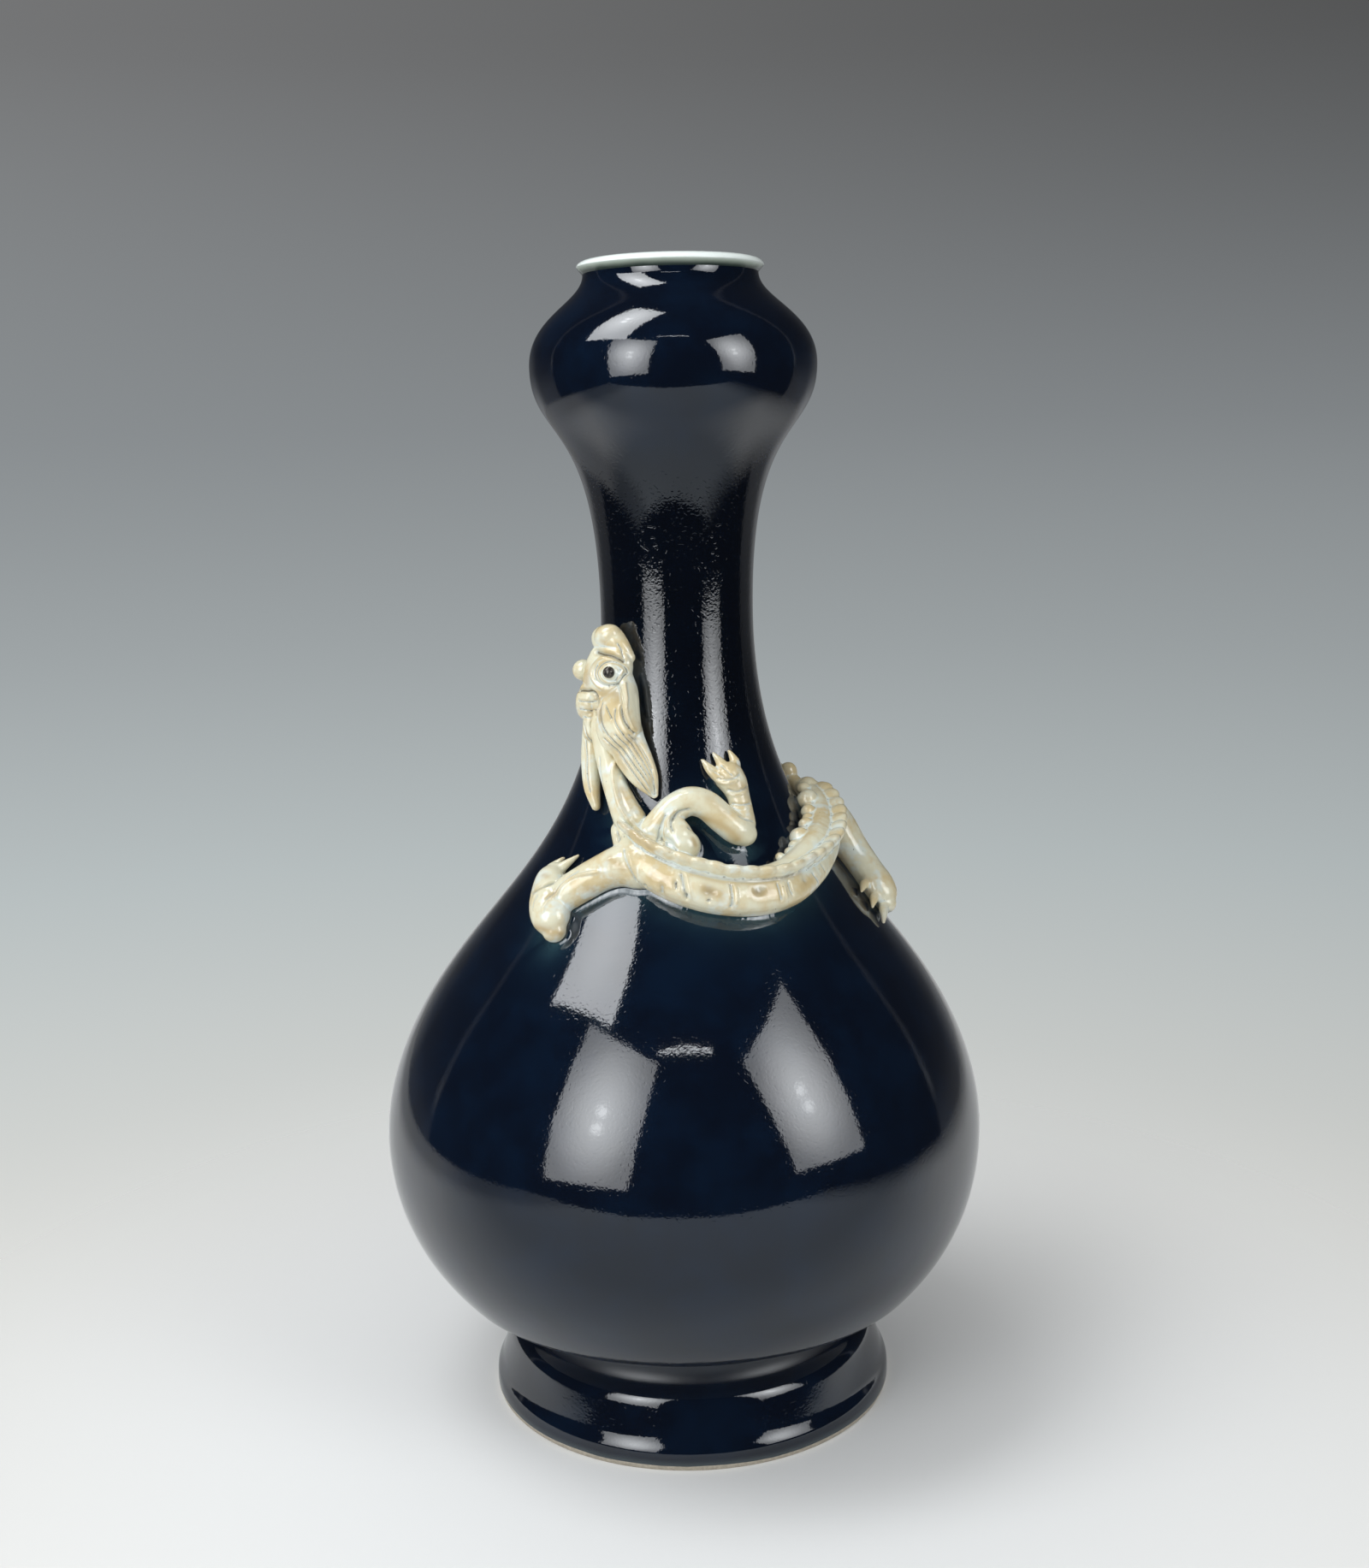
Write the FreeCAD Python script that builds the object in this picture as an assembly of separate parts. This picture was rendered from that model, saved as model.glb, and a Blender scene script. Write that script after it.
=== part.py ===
import FreeCAD, Part
import math
import os

# Glazed stoneware vase with a garlic-head mouth and a modelled hornless dragon
# climbing round its shoulder. Millimetres, +Z up, the origin is on the axis at
# the foot. The front of the vase faces -Y. Angles on the vase are degrees from
# the front, growing towards +X.

# Driving sizes of the thrown vase: heights that stack up from the table
footHeight = 27.0           # where the foot is luted to the body
cavettoHeight = 7.7         # hollow curve between the foot's swelling and the body
bellyRise = 56.5            # from the foot to the widest girth
shoulderRise = 162.3        # from the widest girth to the thinnest place of the neck
flareRise = 64.9            # from there to the widest place of the mouth bulb
mouthRise = 25.5            # from there to the waist under the lip
lipHeight = 3.8
floorThickness = 7.5
rimBevel = 1.2              # bevel of the bare rim that stands on the table
neckLutingShare = 0.6562    # of the shoulder's rise, where the neck is luted on
bulbLutingShare = 0.5732    # of the flare's rise, where the mouth bulb is luted on

# Driving widths of the thrown vase
wall = 5.0                  # thickness of the thrown walls
footNeckRadius = 50.0       # narrow neck between foot and body
cavettoWidth = 3.5
footSpread = 7.8            # from the cavetto's edge out to the rim
rimWidth = 6.5              # flat ring that touches the table
footWall = 7.0              # clay between the foot's neck and the hollow under it
floorInset = 10.0           # flat part of the inside floor, in from the foot's neck
bodyRadius = 90.0
neckRadius = 22.4
bulbRadius = 41.0
collarRadius = 25.0         # waist under the lip
lipOverhang = 1.7

# Heights and radii that follow from them
footEdgeHeight = footHeight - cavettoHeight
floorTop = footHeight + floorThickness
bodyWidest = footHeight + bellyRise
neckLuting = bodyWidest + neckLutingShare * shoulderRise
neckWaist = bodyWidest + shoulderRise
bulbLuting = neckWaist + bulbLutingShare * flareRise
bulbWidest = neckWaist + flareRise
collarHeight = bulbWidest + mouthRise
vaseHeight = collarHeight + lipHeight
footEdgeRadius = footNeckRadius + cavettoWidth
footRadius = footEdgeRadius + footSpread
recessRadius = footNeckRadius - footWall
floorRadius = footNeckRadius - floorInset
lipRadius = collarRadius + lipOverhang

# Driving sizes of the dragon
torsoWidth = 13.8
torsoHeight = 10.6          # how far the torso stands off the wall
neckWidth = 9.0
limbWidth = 8.4
hindWidth = 10.2
tailWidth = 6.6
headWidth = 17.0
headHeight = 10.0
headCrestWidth = 7.4
snoutWidth = 7.0
eyeRadius = 2.9
pupilRadius = 1.7
rightLockWidth = 10.4
leftLockWidth = 4.4
toeWidth = 3.0
curlRadius = 4.7
crestStripWidth = 2.6
beadRadius = 1.6
overrun = 10.0              # cutting bodies run past the vase by this

# Outline curves: shares of the step from one named corner to the next, as
# (share of the change of radius, share of the change of height)
footShares = [(0, 0), (0.04, 0.36), (0.36, 0.76), (1, 1)]
cavettoShares = [(0, 0), (0.72, 0.06), (1, 0.30), (1, 1)]
recessShares = [(0, 0), (0.55, 0.10), (1, 0.42), (1, 1)]
belowShares = [(0, 0), (0.175, 0.057), (0.60, 0.168), (1, 0.434), (1, 1)]
shoulderShares = [(0, 0), (0, 0.1975), (0.331, 0.421), (0.728, 0.4547), (1, 0.658), (1, 1)]
flareShares = [(0, 0), (0, 0.837), (1, 0.6425), (1, 1)]
mouthShares = [(0, 0), (0, 0.56), (1, 0.70), (1, 1)]
insideShares = [(0, 0), (0.35, 0.03), (0.75, 0.15), (1, 0.40), (1, 1)]
lipRoundShare = 0.5


def bezier(start, end, shares):
    """A smooth curve in the XZ plane between two named corners."""
    poles = []
    for across, up in shares:
        radius = start[0] + across * (end[0] - start[0])
        height = start[1] + up * (end[1] - start[1])
        poles.append(FreeCAD.Vector(radius, 0, height))
    curve = Part.BezierCurve()
    curve.setPoles(poles)
    return curve


def line(start, end):
    return Part.LineSegment(FreeCAD.Vector(start[0], 0, start[1]), FreeCAD.Vector(end[0], 0, end[1]))


def revolve(curves):
    """Turn a closed outline about the vase's axis."""
    wire = Part.Wire([curve.toShape() for curve in curves])
    return Part.Face(wire).revolve(FreeCAD.Vector(0, 0, 0), FreeCAD.Vector(0, 0, 1), 360)


def slab(low, high):
    """A disc wider than the vase, used to part the thrown sections."""
    return Part.makeCylinder(bodyRadius + overrun, high - low, FreeCAD.Vector(0, 0, low))


# The thrown outline, from the table up
footBase = (footRadius - rimBevel, 0)
footSide = (footRadius, rimBevel)
footEdge = (footEdgeRadius, footEdgeHeight)
footTop = (footNeckRadius, footHeight)
bodySide = (bodyRadius, bodyWidest)
neckSide = (neckRadius, neckWaist)
bulbSide = (bulbRadius, bulbWidest)
collar = (collarRadius, collarHeight)
outside = [
    bezier(footTop, bodySide, belowShares),
    bezier(bodySide, neckSide, shoulderShares),
    bezier(neckSide, bulbSide, flareShares),
    bezier(bulbSide, collar, mouthShares),
]
footOutline = [bezier(footSide, footEdge, footShares), bezier(footEdge, footTop, cavettoShares)]

# The hollow follows the outside, one wall further in
floorEdge = (floorRadius, floorTop)
bodyInside = (bodyRadius - wall, bodyWidest)
neckInside = (neckRadius - wall, neckWaist)
bulbInside = (bulbRadius - wall, bulbWidest)
collarInside = (collarRadius - wall, collarHeight)
inside = [
    bezier(floorEdge, bodyInside, insideShares),
    bezier(bodyInside, neckInside, shoulderShares),
    bezier(neckInside, bulbInside, flareShares),
    bezier(bulbInside, collarInside, mouthShares),
]


def wallAt(height):
    """Radius of the outside at a height, and the outline's direction there."""
    for curve in outside:
        low, high = curve.FirstParameter, curve.LastParameter
        if height > curve.value(high).z:
            continue
        for step in range(40):
            middle = (low + high) / 2
            if curve.value(middle).z < height:
                low = middle
            else:
                high = middle
        point = curve.value(low)
        along = curve.tangent(low)[0]
        return point.x, along
    return collarRadius, FreeCAD.Vector(0, 0, 1)


def onWall(angle, height, lift):
    """A point over the vase's wall and the wall's outward normal there."""
    radius, along = wallAt(height)
    turn = math.radians(angle)
    radial = FreeCAD.Vector(math.sin(turn), -math.cos(turn), 0)
    normal = radial * abs(along.z) - FreeCAD.Vector(0, 0, 1) * (along.x if along.z > 0 else -along.x)
    normal.normalize()
    return radial * radius + FreeCAD.Vector(0, 0, height) + normal * lift, normal


def thrownSections():
    """The vase's own sections, thrown and luted one on another."""
    axisLow = (0, footHeight)
    axisHigh = (0, collarHeight)
    outer = revolve([line(axisLow, footTop)] + outside + [line(collar, axisHigh), line(axisHigh, axisLow)])
    hollowLow = (0, floorTop)
    hollowTop = [line(collarInside, axisHigh), line(axisHigh, hollowLow)]
    hollow = revolve([line(hollowLow, floorEdge)] + inside + hollowTop)
    shell = outer.cut(hollow)
    recessBase = (footRadius - rimBevel - rimWidth, 0)
    recessTop = (recessRadius, footHeight)
    recess = bezier(recessBase, recessTop, recessShares)
    foot = revolve([line(footBase, footSide)] + footOutline + [line(footTop, recessTop), recess,
                   line(recessBase, footBase)])
    # The lip is a roll a little wider than the collar, rounded over inside and out
    lipInner = collarRadius - wall
    lipWaist = collarHeight + (vaseHeight - collarHeight) * lipRoundShare
    lipMiddle = (lipRadius + lipInner) / 2
    rollShares = [(0, 0), (0, 0.55), (0.45, 1), (1, 1)]
    crown = (lipMiddle, vaseHeight)
    outerRoll = bezier((lipRadius, lipWaist), crown, rollShares)
    innerRoll = bezier((lipInner, lipWaist), crown, rollShares)
    lip = revolve([line(collarInside, collar), line(collar, (lipRadius, lipWaist)), outerRoll, innerRoll,
                   line((lipInner, lipWaist), collarInside)])
    return outer, {
        "stem_foot": foot,
        "body_lower": shell.common(slab(footHeight, bodyWidest)),
        "body_upper": shell.common(slab(bodyWidest, neckLuting)),
        "neck": shell.common(slab(neckLuting, bulbLuting)),
        "mouth_bulb": shell.common(slab(bulbLuting, collarHeight)),
        "lip_ring": lip,
    }


# Cross-sections of rolled clay, as (share of the half width, share of the half height)
roundShares = [
    (-1, 0), (-0.72, 0.70), (0, 1), (0.72, 0.70), (1, 0), (0.72, -0.70), (0, -1), (-0.72, -0.70),
]
ridgedShares = [
    (-1, 0), (-0.84, 0.66), (-0.05, 1.08), (0.66, 0.50), (1, 0), (0.72, -0.70), (0, -1),
    (-0.72, -0.70),
]
ridgeLineShare = (-0.05, 1.06)     # where the dorsal crest sits on the torso's section
beadLineShare = (0.80, 0.34)       # where the row of beads sits on it


def between(path, place):
    """The path's row at a place between its rows, by a smooth blend of four of them."""
    last = len(path) - 1
    i = min(int(place), last - 1)
    t = place - i
    rows = [path[max(i - 1, 0)], path[i], path[i + 1], path[min(i + 2, last)]]
    blended = []
    for a, b, c, d in zip(*rows):
        square, cube = 2 * a - 5 * b + 4 * c - d, 3 * b - a - 3 * c + d
        blended.append((2 * b + (c - a) * t + square * t ** 2 + cube * t ** 3) / 2)
    return blended


def frameAt(path, height, place):
    """Middle, across, up and size share of a roll at a place along its path.

    Each row of a path is (angle, share of the vase's height, share of the
    roll's height that its middle lies over the wall, share of its size).
    """
    last = len(path) - 1
    near = 0.25
    points = []
    for spot in (max(place - near, 0), place, min(place + near, last)):
        angle, heightShare, liftShare, sizeShare = between(path, spot)
        point, normal = onWall(angle, heightShare * vaseHeight, liftShare * height)
        points.append((point, normal, sizeShare))
    along = (points[2][0] - points[0][0]).normalize()
    across = points[1][1].cross(along).normalize()
    return points[1][0], across, along.cross(across), points[1][2]


def ring(frame, width, height, section):
    """One closed cross-section of a roll."""
    middle, across, up, size = frame
    points = [middle + across * (u * size * width / 2) + up * (v * size * height / 2) for u, v in section]
    curve = Part.BSplineCurve()
    curve.interpolate(points, PeriodicFlag=True)
    return Part.Wire(curve.toShape())


def roll(path, width, height, section=roundShares, pointed=False):
    """A roll of clay laid on the wall along a path."""
    frames = [frameAt(path, height, i) for i in range(len(path))]
    wires = [ring(frame, width, height, section) for frame in frames]
    if pointed:
        wires[-1] = Part.Vertex(frames[-1][0])
    return Part.makeLoft(wires, True, False, False, 3)


def pellet(middle, normal, radius):
    """A ball of clay with its poles along the wall's normal."""
    ball = Part.makeSphere(radius)
    ball.Placement = FreeCAD.Placement(middle, FreeCAD.Rotation(FreeCAD.Vector(0, 0, 1), normal))
    return ball


def onTorso(place, share):
    """A point on the torso's section, and the direction out of the section there."""
    middle, across, up, size = frameAt(torsoShares, torsoHeight, place)
    u, v = share
    outward = across * (u * size * torsoWidth / 2) + up * (v * size * torsoHeight / 2)
    return middle + outward, across, up, outward.normalize()


def largest(shape):
    return max(shape.Solids, key=lambda solid: solid.Volume)


def trim(piece, wallBody, placed):
    """Seat a modelled piece: cut away what lies in the wall and in the pieces already there."""
    piece = piece.cut(wallBody)
    for other in placed.values():
        if piece.BoundBox.intersect(other.BoundBox):
            piece = piece.cut(other)
    return largest(piece)


# The dragon's rolls: (angle, share of vase height, share of lift, share of size)
torsoShares = [
    (-25, 0.5330, 0.25, 0.56), (-16, 0.5150, 0.38, 0.90), (-8, 0.5020, 0.42, 0.96),
    (2, 0.4920, 0.42, 1.0), (12, 0.4850, 0.42, 1.0), (24, 0.4815, 0.42, 1.0), (35, 0.4840, 0.42, 0.98),
    (46, 0.4940, 0.42, 0.94), (58, 0.5090, 0.44, 0.90), (70, 0.5215, 0.48, 0.88),
    (82, 0.5310, 0.52, 0.86), (93, 0.5380, 0.54, 0.80), (102, 0.5440, 0.50, 0.62),
]
neckShares = [
    (-52, 0.640, 0.50, 0.70), (-48, 0.6160, 0.46, 0.86), (-43, 0.5975, 0.40, 0.94),
    (-37.5, 0.5810, 0.38, 1.0), (-30, 0.5610, 0.38, 1.04), (-21, 0.5390, 0.40, 1.10),
]
tailShares = [
    (97, 0.5390, 0.55, 1.10), (108, 0.5465, 0.48, 1.0), (120, 0.5515, 0.42, 0.96),
    (140, 0.5600, 0.38, 0.94), (162, 0.5590, 0.38, 0.88), (184, 0.5470, 0.38, 0.80),
    (203, 0.5240, 0.38, 0.72), (218, 0.4930, 0.38, 0.60),
]
tailForkShares = [
    (217, 0.4950, 0.30, 0.56), (226, 0.4820, 0.36, 0.60), (236, 0.4800, 0.36, 0.46),
    (245, 0.4890, 0.20, 0.1),
]
tailTipShares = [
    (216, 0.4980, 0.30, 0.56), (222, 0.4720, 0.36, 0.66), (224, 0.4480, 0.36, 0.48),
    (220, 0.4280, 0.20, 0.1),
]
upperArmShares = [
    (-13, 0.5270, 0.35, 0.98), (-7.4, 0.5405, 0.42, 1.0), (-2, 0.5500, 0.42, 1.0),
    (4.7, 0.5545, 0.42, 1.0), (11.6, 0.5505, 0.42, 1.0), (17.5, 0.5395, 0.42, 1.0),
    (22.6, 0.5300, 0.42, 1.0), (26.2, 0.5260, 0.38, 0.88),
]
forearmShares = [
    (25.6, 0.5230, 0.30, 0.56), (26.3, 0.5320, 0.40, 0.94), (27.7, 0.5440, 0.40, 0.82),
    (28.0, 0.5560, 0.38, 0.80), (27.1, 0.5680, 0.36, 0.96), (25.0, 0.5780, 0.30, 1.04),
    (24.2, 0.5815, 0.26, 0.80),
]
leftArmShares = [
    (-8, 0.5060, 0.30, 1.06), (-15, 0.5080, 0.40, 1.24), (-22, 0.5070, 0.42, 1.16),
    (-28.5, 0.5020, 0.42, 1.06), (-34.6, 0.4930, 0.42, 1.02), (-39.4, 0.4845, 0.40, 1.0),
    (-42.5, 0.4750, 0.36, 0.86),
]
leftForearmShares = [
    (-38.5, 0.4480, 0.28, 0.66), (-40.6, 0.4560, 0.42, 1.16), (-43.8, 0.4660, 0.46, 1.24),
    (-48.0, 0.4780, 0.44, 1.14), (-50.6, 0.4880, 0.40, 1.0), (-51.2, 0.4960, 0.32, 0.90),
    (-51.0, 0.4995, 0.28, 0.66),
]
hindShares = [
    (102, 0.5480, 0.55, 0.80), (99, 0.5240, 0.58, 0.98), (96, 0.5010, 0.56, 0.96),
    (93.5, 0.4790, 0.50, 0.84), (90, 0.4620, 0.46, 0.80), (87, 0.4520, 0.42, 0.86),
    (85, 0.4450, 0.36, 0.80), (84.0, 0.4405, 0.30, 0.56),
]
backLegShares = [
    (112, 0.5600, 0.40, 0.70), (120, 0.5420, 0.42, 0.90), (128, 0.5190, 0.40, 0.84),
    (134, 0.4960, 0.40, 0.74), (138, 0.4770, 0.38, 0.80), (140, 0.4660, 0.34, 0.78),
    (140.5, 0.4620, 0.30, 0.56),
]
rightLockShares = [
    (-38.5, 0.6540, 0.55, 0.76), (-36.5, 0.6395, 0.72, 1.0), (-33, 0.6230, 0.80, 1.08),
    (-27, 0.6050, 0.80, 1.0), (-20.3, 0.5870, 0.74, 0.82), (-15.3, 0.5725, 0.62, 0.62),
    (-11.8, 0.5595, 0.40, 0.16),
]
leftLockShares = [
    (-60, 0.6300, 0.75, 0.96), (-57.5, 0.6140, 0.82, 1.06), (-55, 0.5990, 0.84, 1.10),
    (-52, 0.5820, 0.80, 1.08), (-47, 0.5620, 0.70, 0.86), (-42.2, 0.5465, 0.40, 0.2),
]
headShares = [
    (-42, 0.6820, 0.34, 0.60), (-43.2, 0.6740, 0.42, 0.86), (-45.0, 0.6620, 0.48, 0.98),
    (-47.2, 0.6490, 0.50, 0.96), (-49.2, 0.6360, 0.48, 0.84), (-50.4, 0.6250, 0.42, 0.62),
]
snoutShares = [
    (-52, 0.6500, 0.76, 0.62), (-53.5, 0.6430, 0.84, 1.0), (-55, 0.6340, 0.86, 1.12),
    (-55.5, 0.6250, 0.80, 1.02), (-55, 0.6185, 0.70, 0.62),
]
crestShares = [
    (-29.0, 0.6700, 0.42, 0.42), (-32.5, 0.6760, 0.50, 0.66), (-37.5, 0.6840, 0.56, 0.88),
    (-44.5, 0.6890, 0.60, 1.06), (-51.5, 0.6880, 0.60, 1.04), (-57.5, 0.6850, 0.54, 0.64),
]
lockHeightShare = 0.50      # the broad beard lock is flatter than it is wide
# Eyes: angle, share of height, lift as a share of the head's height
eyeShares = {"right": (-36.8, 0.6605, 0.80), "left": (-69.0, 0.6590, 0.52)}
pupilLiftShare = 0.66       # of the eye's radius
pupilTurn = {"right": 20.0, "left": 12.0}      # degrees that each eye looks aside
curlShares = (-0.5, 0.5225)
curlLiftShare = 0.55        # of the curl's radius
crestWaveShares = [0.72, 1.12]     # thickness of the dorsal crest, over and over
crestSteps = 23
crestFrom, crestTo = 1.0, 11.6     # places along the torso's path
beadCount = 11
beadFrom, beadTo = 6.3, 11.8

# Toes of each paw: (angle, share of height) of the root, the knuckle and the claw's tip
toeShares = {
    "right_fore": [
        ((22.8, 0.5745), (17.0, 0.5815), (12.2, 0.5880)),
        ((25.2, 0.5800), (23.8, 0.5870), (21.6, 0.5932)),
        ((29.8, 0.5780), (32.0, 0.5860), (33.6, 0.5930)),
    ],
    "left_fore": [
        ((-53.5, 0.4930), (-57.0, 0.4985), (-59.4, 0.5065)),
        ((-51.3, 0.4965), (-51.2, 0.5030), (-49.6, 0.5108)),
        ((-48.0, 0.4920), (-44.6, 0.5010), (-41.2, 0.5060)),
    ],
    "right_hind": [
        ((86.0, 0.4560), (81.5, 0.4610), (77.5, 0.4595)),
        ((84.5, 0.4480), (79.5, 0.4500), (76.0, 0.4470)),
        ((84.0, 0.4420), (79.0, 0.4395), (74.8, 0.4345)),
    ],
    "left_hind": [
        ((138.5, 0.4680), (135.0, 0.4580), (131.0, 0.4510)),
        ((140.5, 0.4640), (139.5, 0.4530), (137.0, 0.4440)),
        ((142.5, 0.4670), (145.5, 0.4560), (145.0, 0.4460)),
    ],
}


def toe(spots):
    (rootAngle, rootHeight), (knuckleAngle, knuckleHeight), (tipAngle, tipHeight) = spots
    boneAngle, boneHeight = (rootAngle + knuckleAngle) / 2, (rootHeight + knuckleHeight) / 2
    path = [(rootAngle, rootHeight, 0.80, 1.0), (boneAngle, boneHeight, 0.72, 0.95),
            (knuckleAngle, knuckleHeight, 0.60, 0.80), (tipAngle, tipHeight, 0.15, 0.12)]
    return roll(path, toeWidth, toeWidth, pointed=True)


def dorsalCrest():
    """The scalloped strip of clay along the torso's ridge."""
    wires = []
    for step in range(crestSteps):
        place = crestFrom + (crestTo - crestFrom) * step / (crestSteps - 1)
        middle, across, up, outward = onTorso(place, ridgeLineShare)
        size = crestWaveShares[step % len(crestWaveShares)]
        wires.append(ring((middle, across, up, size), crestStripWidth, crestStripWidth, roundShares))
    return Part.makeLoft(wires, True, True)


def dragonPieces(wallBody):
    """The applied dragon, each piece trimmed to the wall and to the pieces under it."""
    placed = {}

    def place(name, piece):
        placed[name] = trim(piece, wallBody, placed)

    place("dragon_torso", roll(torsoShares, torsoWidth, torsoHeight, ridgedShares))
    place("dragon_neck", roll(neckShares, neckWidth, neckWidth))
    place("dragon_tail", roll(tailShares, tailWidth, tailWidth))
    place("tail_fork", roll(tailForkShares, tailWidth, tailWidth))
    place("tail_tip", roll(tailTipShares, tailWidth, tailWidth))
    place("right_upper_arm", roll(upperArmShares, limbWidth, limbWidth))
    place("right_forearm", roll(forearmShares, limbWidth, limbWidth))
    place("left_upper_arm", roll(leftArmShares, limbWidth, limbWidth))
    place("left_forearm", roll(leftForearmShares, limbWidth, limbWidth))
    place("right_hind_leg", roll(hindShares, hindWidth, hindWidth))
    place("left_hind_leg", roll(backLegShares, hindWidth, hindWidth))
    angle, heightShare = curlShares
    middle, normal = onWall(angle, heightShare * vaseHeight, curlLiftShare * curlRadius)
    place("shoulder_curl", pellet(middle, normal, curlRadius))
    place("dragon_head", roll(headShares, headWidth, headHeight))
    place("snout", roll(snoutShares, snoutWidth, snoutWidth))
    place("head_crest", roll(crestShares, headCrestWidth, headCrestWidth))
    place("right_beard_lock", roll(rightLockShares, rightLockWidth, rightLockWidth * lockHeightShare))
    place("left_beard_lock", roll(leftLockShares, leftLockWidth, leftLockWidth))
    for side, (angle, heightShare, liftShare) in eyeShares.items():
        lift = liftShare * headHeight
        middle, normal = onWall(angle, heightShare * vaseHeight, lift)
        look = FreeCAD.Rotation(FreeCAD.Vector(0, 0, 1), pupilTurn[side]).multVec(normal)
        placed[f"{side}_pupil"] = pellet(middle + look * (pupilLiftShare * eyeRadius), look, pupilRadius)
        place(f"{side}_eye", pellet(middle, normal, eyeRadius))
    place("dorsal_crest", dorsalCrest())
    for paw, toes in toeShares.items():
        for count, spots in enumerate(toes, 1):
            place(f"{paw}_toe_{count}", toe(spots))
    beads = []
    for count in range(beadCount):
        spot = beadFrom + (beadTo - beadFrom) * count / (beadCount - 1)
        middle, across, up, outward = onTorso(spot, beadLineShare)
        beads.append(trim(pellet(middle, outward, beadRadius), wallBody, placed))
    placed["spine_beads"] = Part.makeCompound(beads)
    return placed


os.makedirs("parts", exist_ok=True)
wallBody, pieces = thrownSections()
pieces.update(dragonPieces(wallBody))
for name, shape in pieces.items():
    shape.exportStep(f"parts/{name}.step")
    print(name, "solids", len(shape.Solids), "volume", round(shape.Volume, 1), "valid", shape.isValid())
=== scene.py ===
import bpy
import math
import numpy as np
from mathutils import Matrix, Vector
from mathutils.bvhtree import BVHTree
from mathutils.kdtree import KDTree


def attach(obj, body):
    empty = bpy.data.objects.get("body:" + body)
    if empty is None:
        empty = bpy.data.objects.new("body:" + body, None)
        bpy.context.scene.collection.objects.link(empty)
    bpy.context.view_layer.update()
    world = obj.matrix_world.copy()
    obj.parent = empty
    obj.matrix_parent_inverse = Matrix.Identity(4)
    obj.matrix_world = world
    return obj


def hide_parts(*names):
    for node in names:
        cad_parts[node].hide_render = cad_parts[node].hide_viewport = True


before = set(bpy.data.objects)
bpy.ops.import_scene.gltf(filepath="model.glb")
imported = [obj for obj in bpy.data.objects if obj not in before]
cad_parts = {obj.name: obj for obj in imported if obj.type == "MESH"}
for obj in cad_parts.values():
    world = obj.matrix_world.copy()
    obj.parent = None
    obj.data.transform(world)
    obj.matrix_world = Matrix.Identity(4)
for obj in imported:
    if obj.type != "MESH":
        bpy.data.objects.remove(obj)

bpy.ops.object.select_all(action="DESELECT")
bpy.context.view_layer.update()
scene = bpy.context.scene
scene.view_settings.view_transform = "Standard"
mm = .001

# Camera: a little above the shoulder, looking slightly down, turned a hair off level
cameraLook = {
    "place": (.00119, -.53203, .2874),
    "pitch": .1842,  # radians below the horizon
    "roll": .0209,
    "lens": 41.43,  # mm on a 36 mm sensor along the frame's long side
}


def linkObject(name, data):
    made = bpy.data.objects.new(name, data)
    scene.collection.objects.link(made)
    return made


def placeCamera(look):
    data = bpy.data.cameras.new("camera")
    data.lens = look["lens"]
    data.sensor_width = 36
    camera = linkObject("camera", data)
    forward = Vector((0, math.cos(look["pitch"]), -math.sin(look["pitch"])))
    level = Vector((1, 0, 0))
    top = level.cross(forward)
    right = level * math.cos(look["roll"]) - top * math.sin(look["roll"])
    up = level * math.sin(look["roll"]) + top * math.cos(look["roll"])
    turn = Matrix((right, up, -forward)).transposed()
    camera.matrix_world = Matrix.Translation(look["place"]) @ turn.to_4x4()
    scene.camera = camera


placeCamera(cameraLook)
print("camera placed")


class Field:
    # A shader socket that takes part in sums
    def __init__(self, tree, socket):
        self.tree = tree
        self.socket = socket

    def __getitem__(self, name):
        return Field(self.tree, self.socket.node.outputs[name])

    def maths(self, operation, first, second, clamp=False):
        return addNode(self.tree, "Math", {0: first, 1: second}, operation=operation, use_clamp=clamp)

    def __add__(self, other):
        return self.maths("ADD", self, other)

    def __sub__(self, other):
        return self.maths("SUBTRACT", self, other)

    def __rsub__(self, other):
        return self.maths("SUBTRACT", other, self)

    def __mul__(self, other):
        return self.maths("MULTIPLY", self, other)

    def __truediv__(self, other):
        return self.maths("DIVIDE", self, other)

    def __gt__(self, other):
        return self.maths("GREATER_THAN", self, other)

    __radd__, __rmul__ = __add__, __mul__

    def power(self, exponent):
        return self.maths("POWER", self, exponent)

    def clamped(self):
        return self.maths("ADD", self, 0, clamp=True)

    def between(self, low, high):
        # 0 at low and 1 at high, smoothly
        inputs = {"Value": self, "From Min": low, "From Max": high}
        return addNode(self.tree, "MapRange", inputs, interpolation_type="SMOOTHSTEP")


def feed(socket, value):
    # Link a field to a socket, or set the socket to a constant
    if isinstance(value, Field):
        value.tree.links.new(value.socket, socket)
    else:
        socket.default_value = value


def addNode(tree, kind, inputs=None, **settings):
    node = tree.nodes.new("ShaderNode" + kind)
    for name, value in settings.items():
        setattr(node, name, value)
    for name, value in (inputs or {}).items():
        feed(node.inputs[name], value)
    return Field(tree, node.outputs[0]) if node.outputs else None


def mix(share, first, second):
    # From the first colour to the second as the share goes from 0 to 1
    node = addNode(share.tree, "Mix", {"Factor": share}, data_type="RGBA").socket.node
    for place, value in ((6, first), (7, second)):
        feed(node.inputs[place], value if isinstance(value, Field) else (*value, 1))
    return Field(share.tree, node.outputs[2])


def ramp(share, stops):
    # Colours by their places from 0 to 1
    mixed = addNode(share.tree, "ValToRGB", {"Fac": share})
    elements = mixed.socket.node.color_ramp.elements
    while len(elements) < len(stops):
        elements.new(1)
    for element, (place, colour) in zip(elements, stops):
        element.position = place
        element.color = (*colour, 1)
    return mixed


def noise(where, scale, detail=2, roughness=.5):
    inputs = {"Vector": where, "Scale": scale, "Detail": detail, "Roughness": roughness}
    return addNode(where.tree, "TexNoise", inputs)


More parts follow.
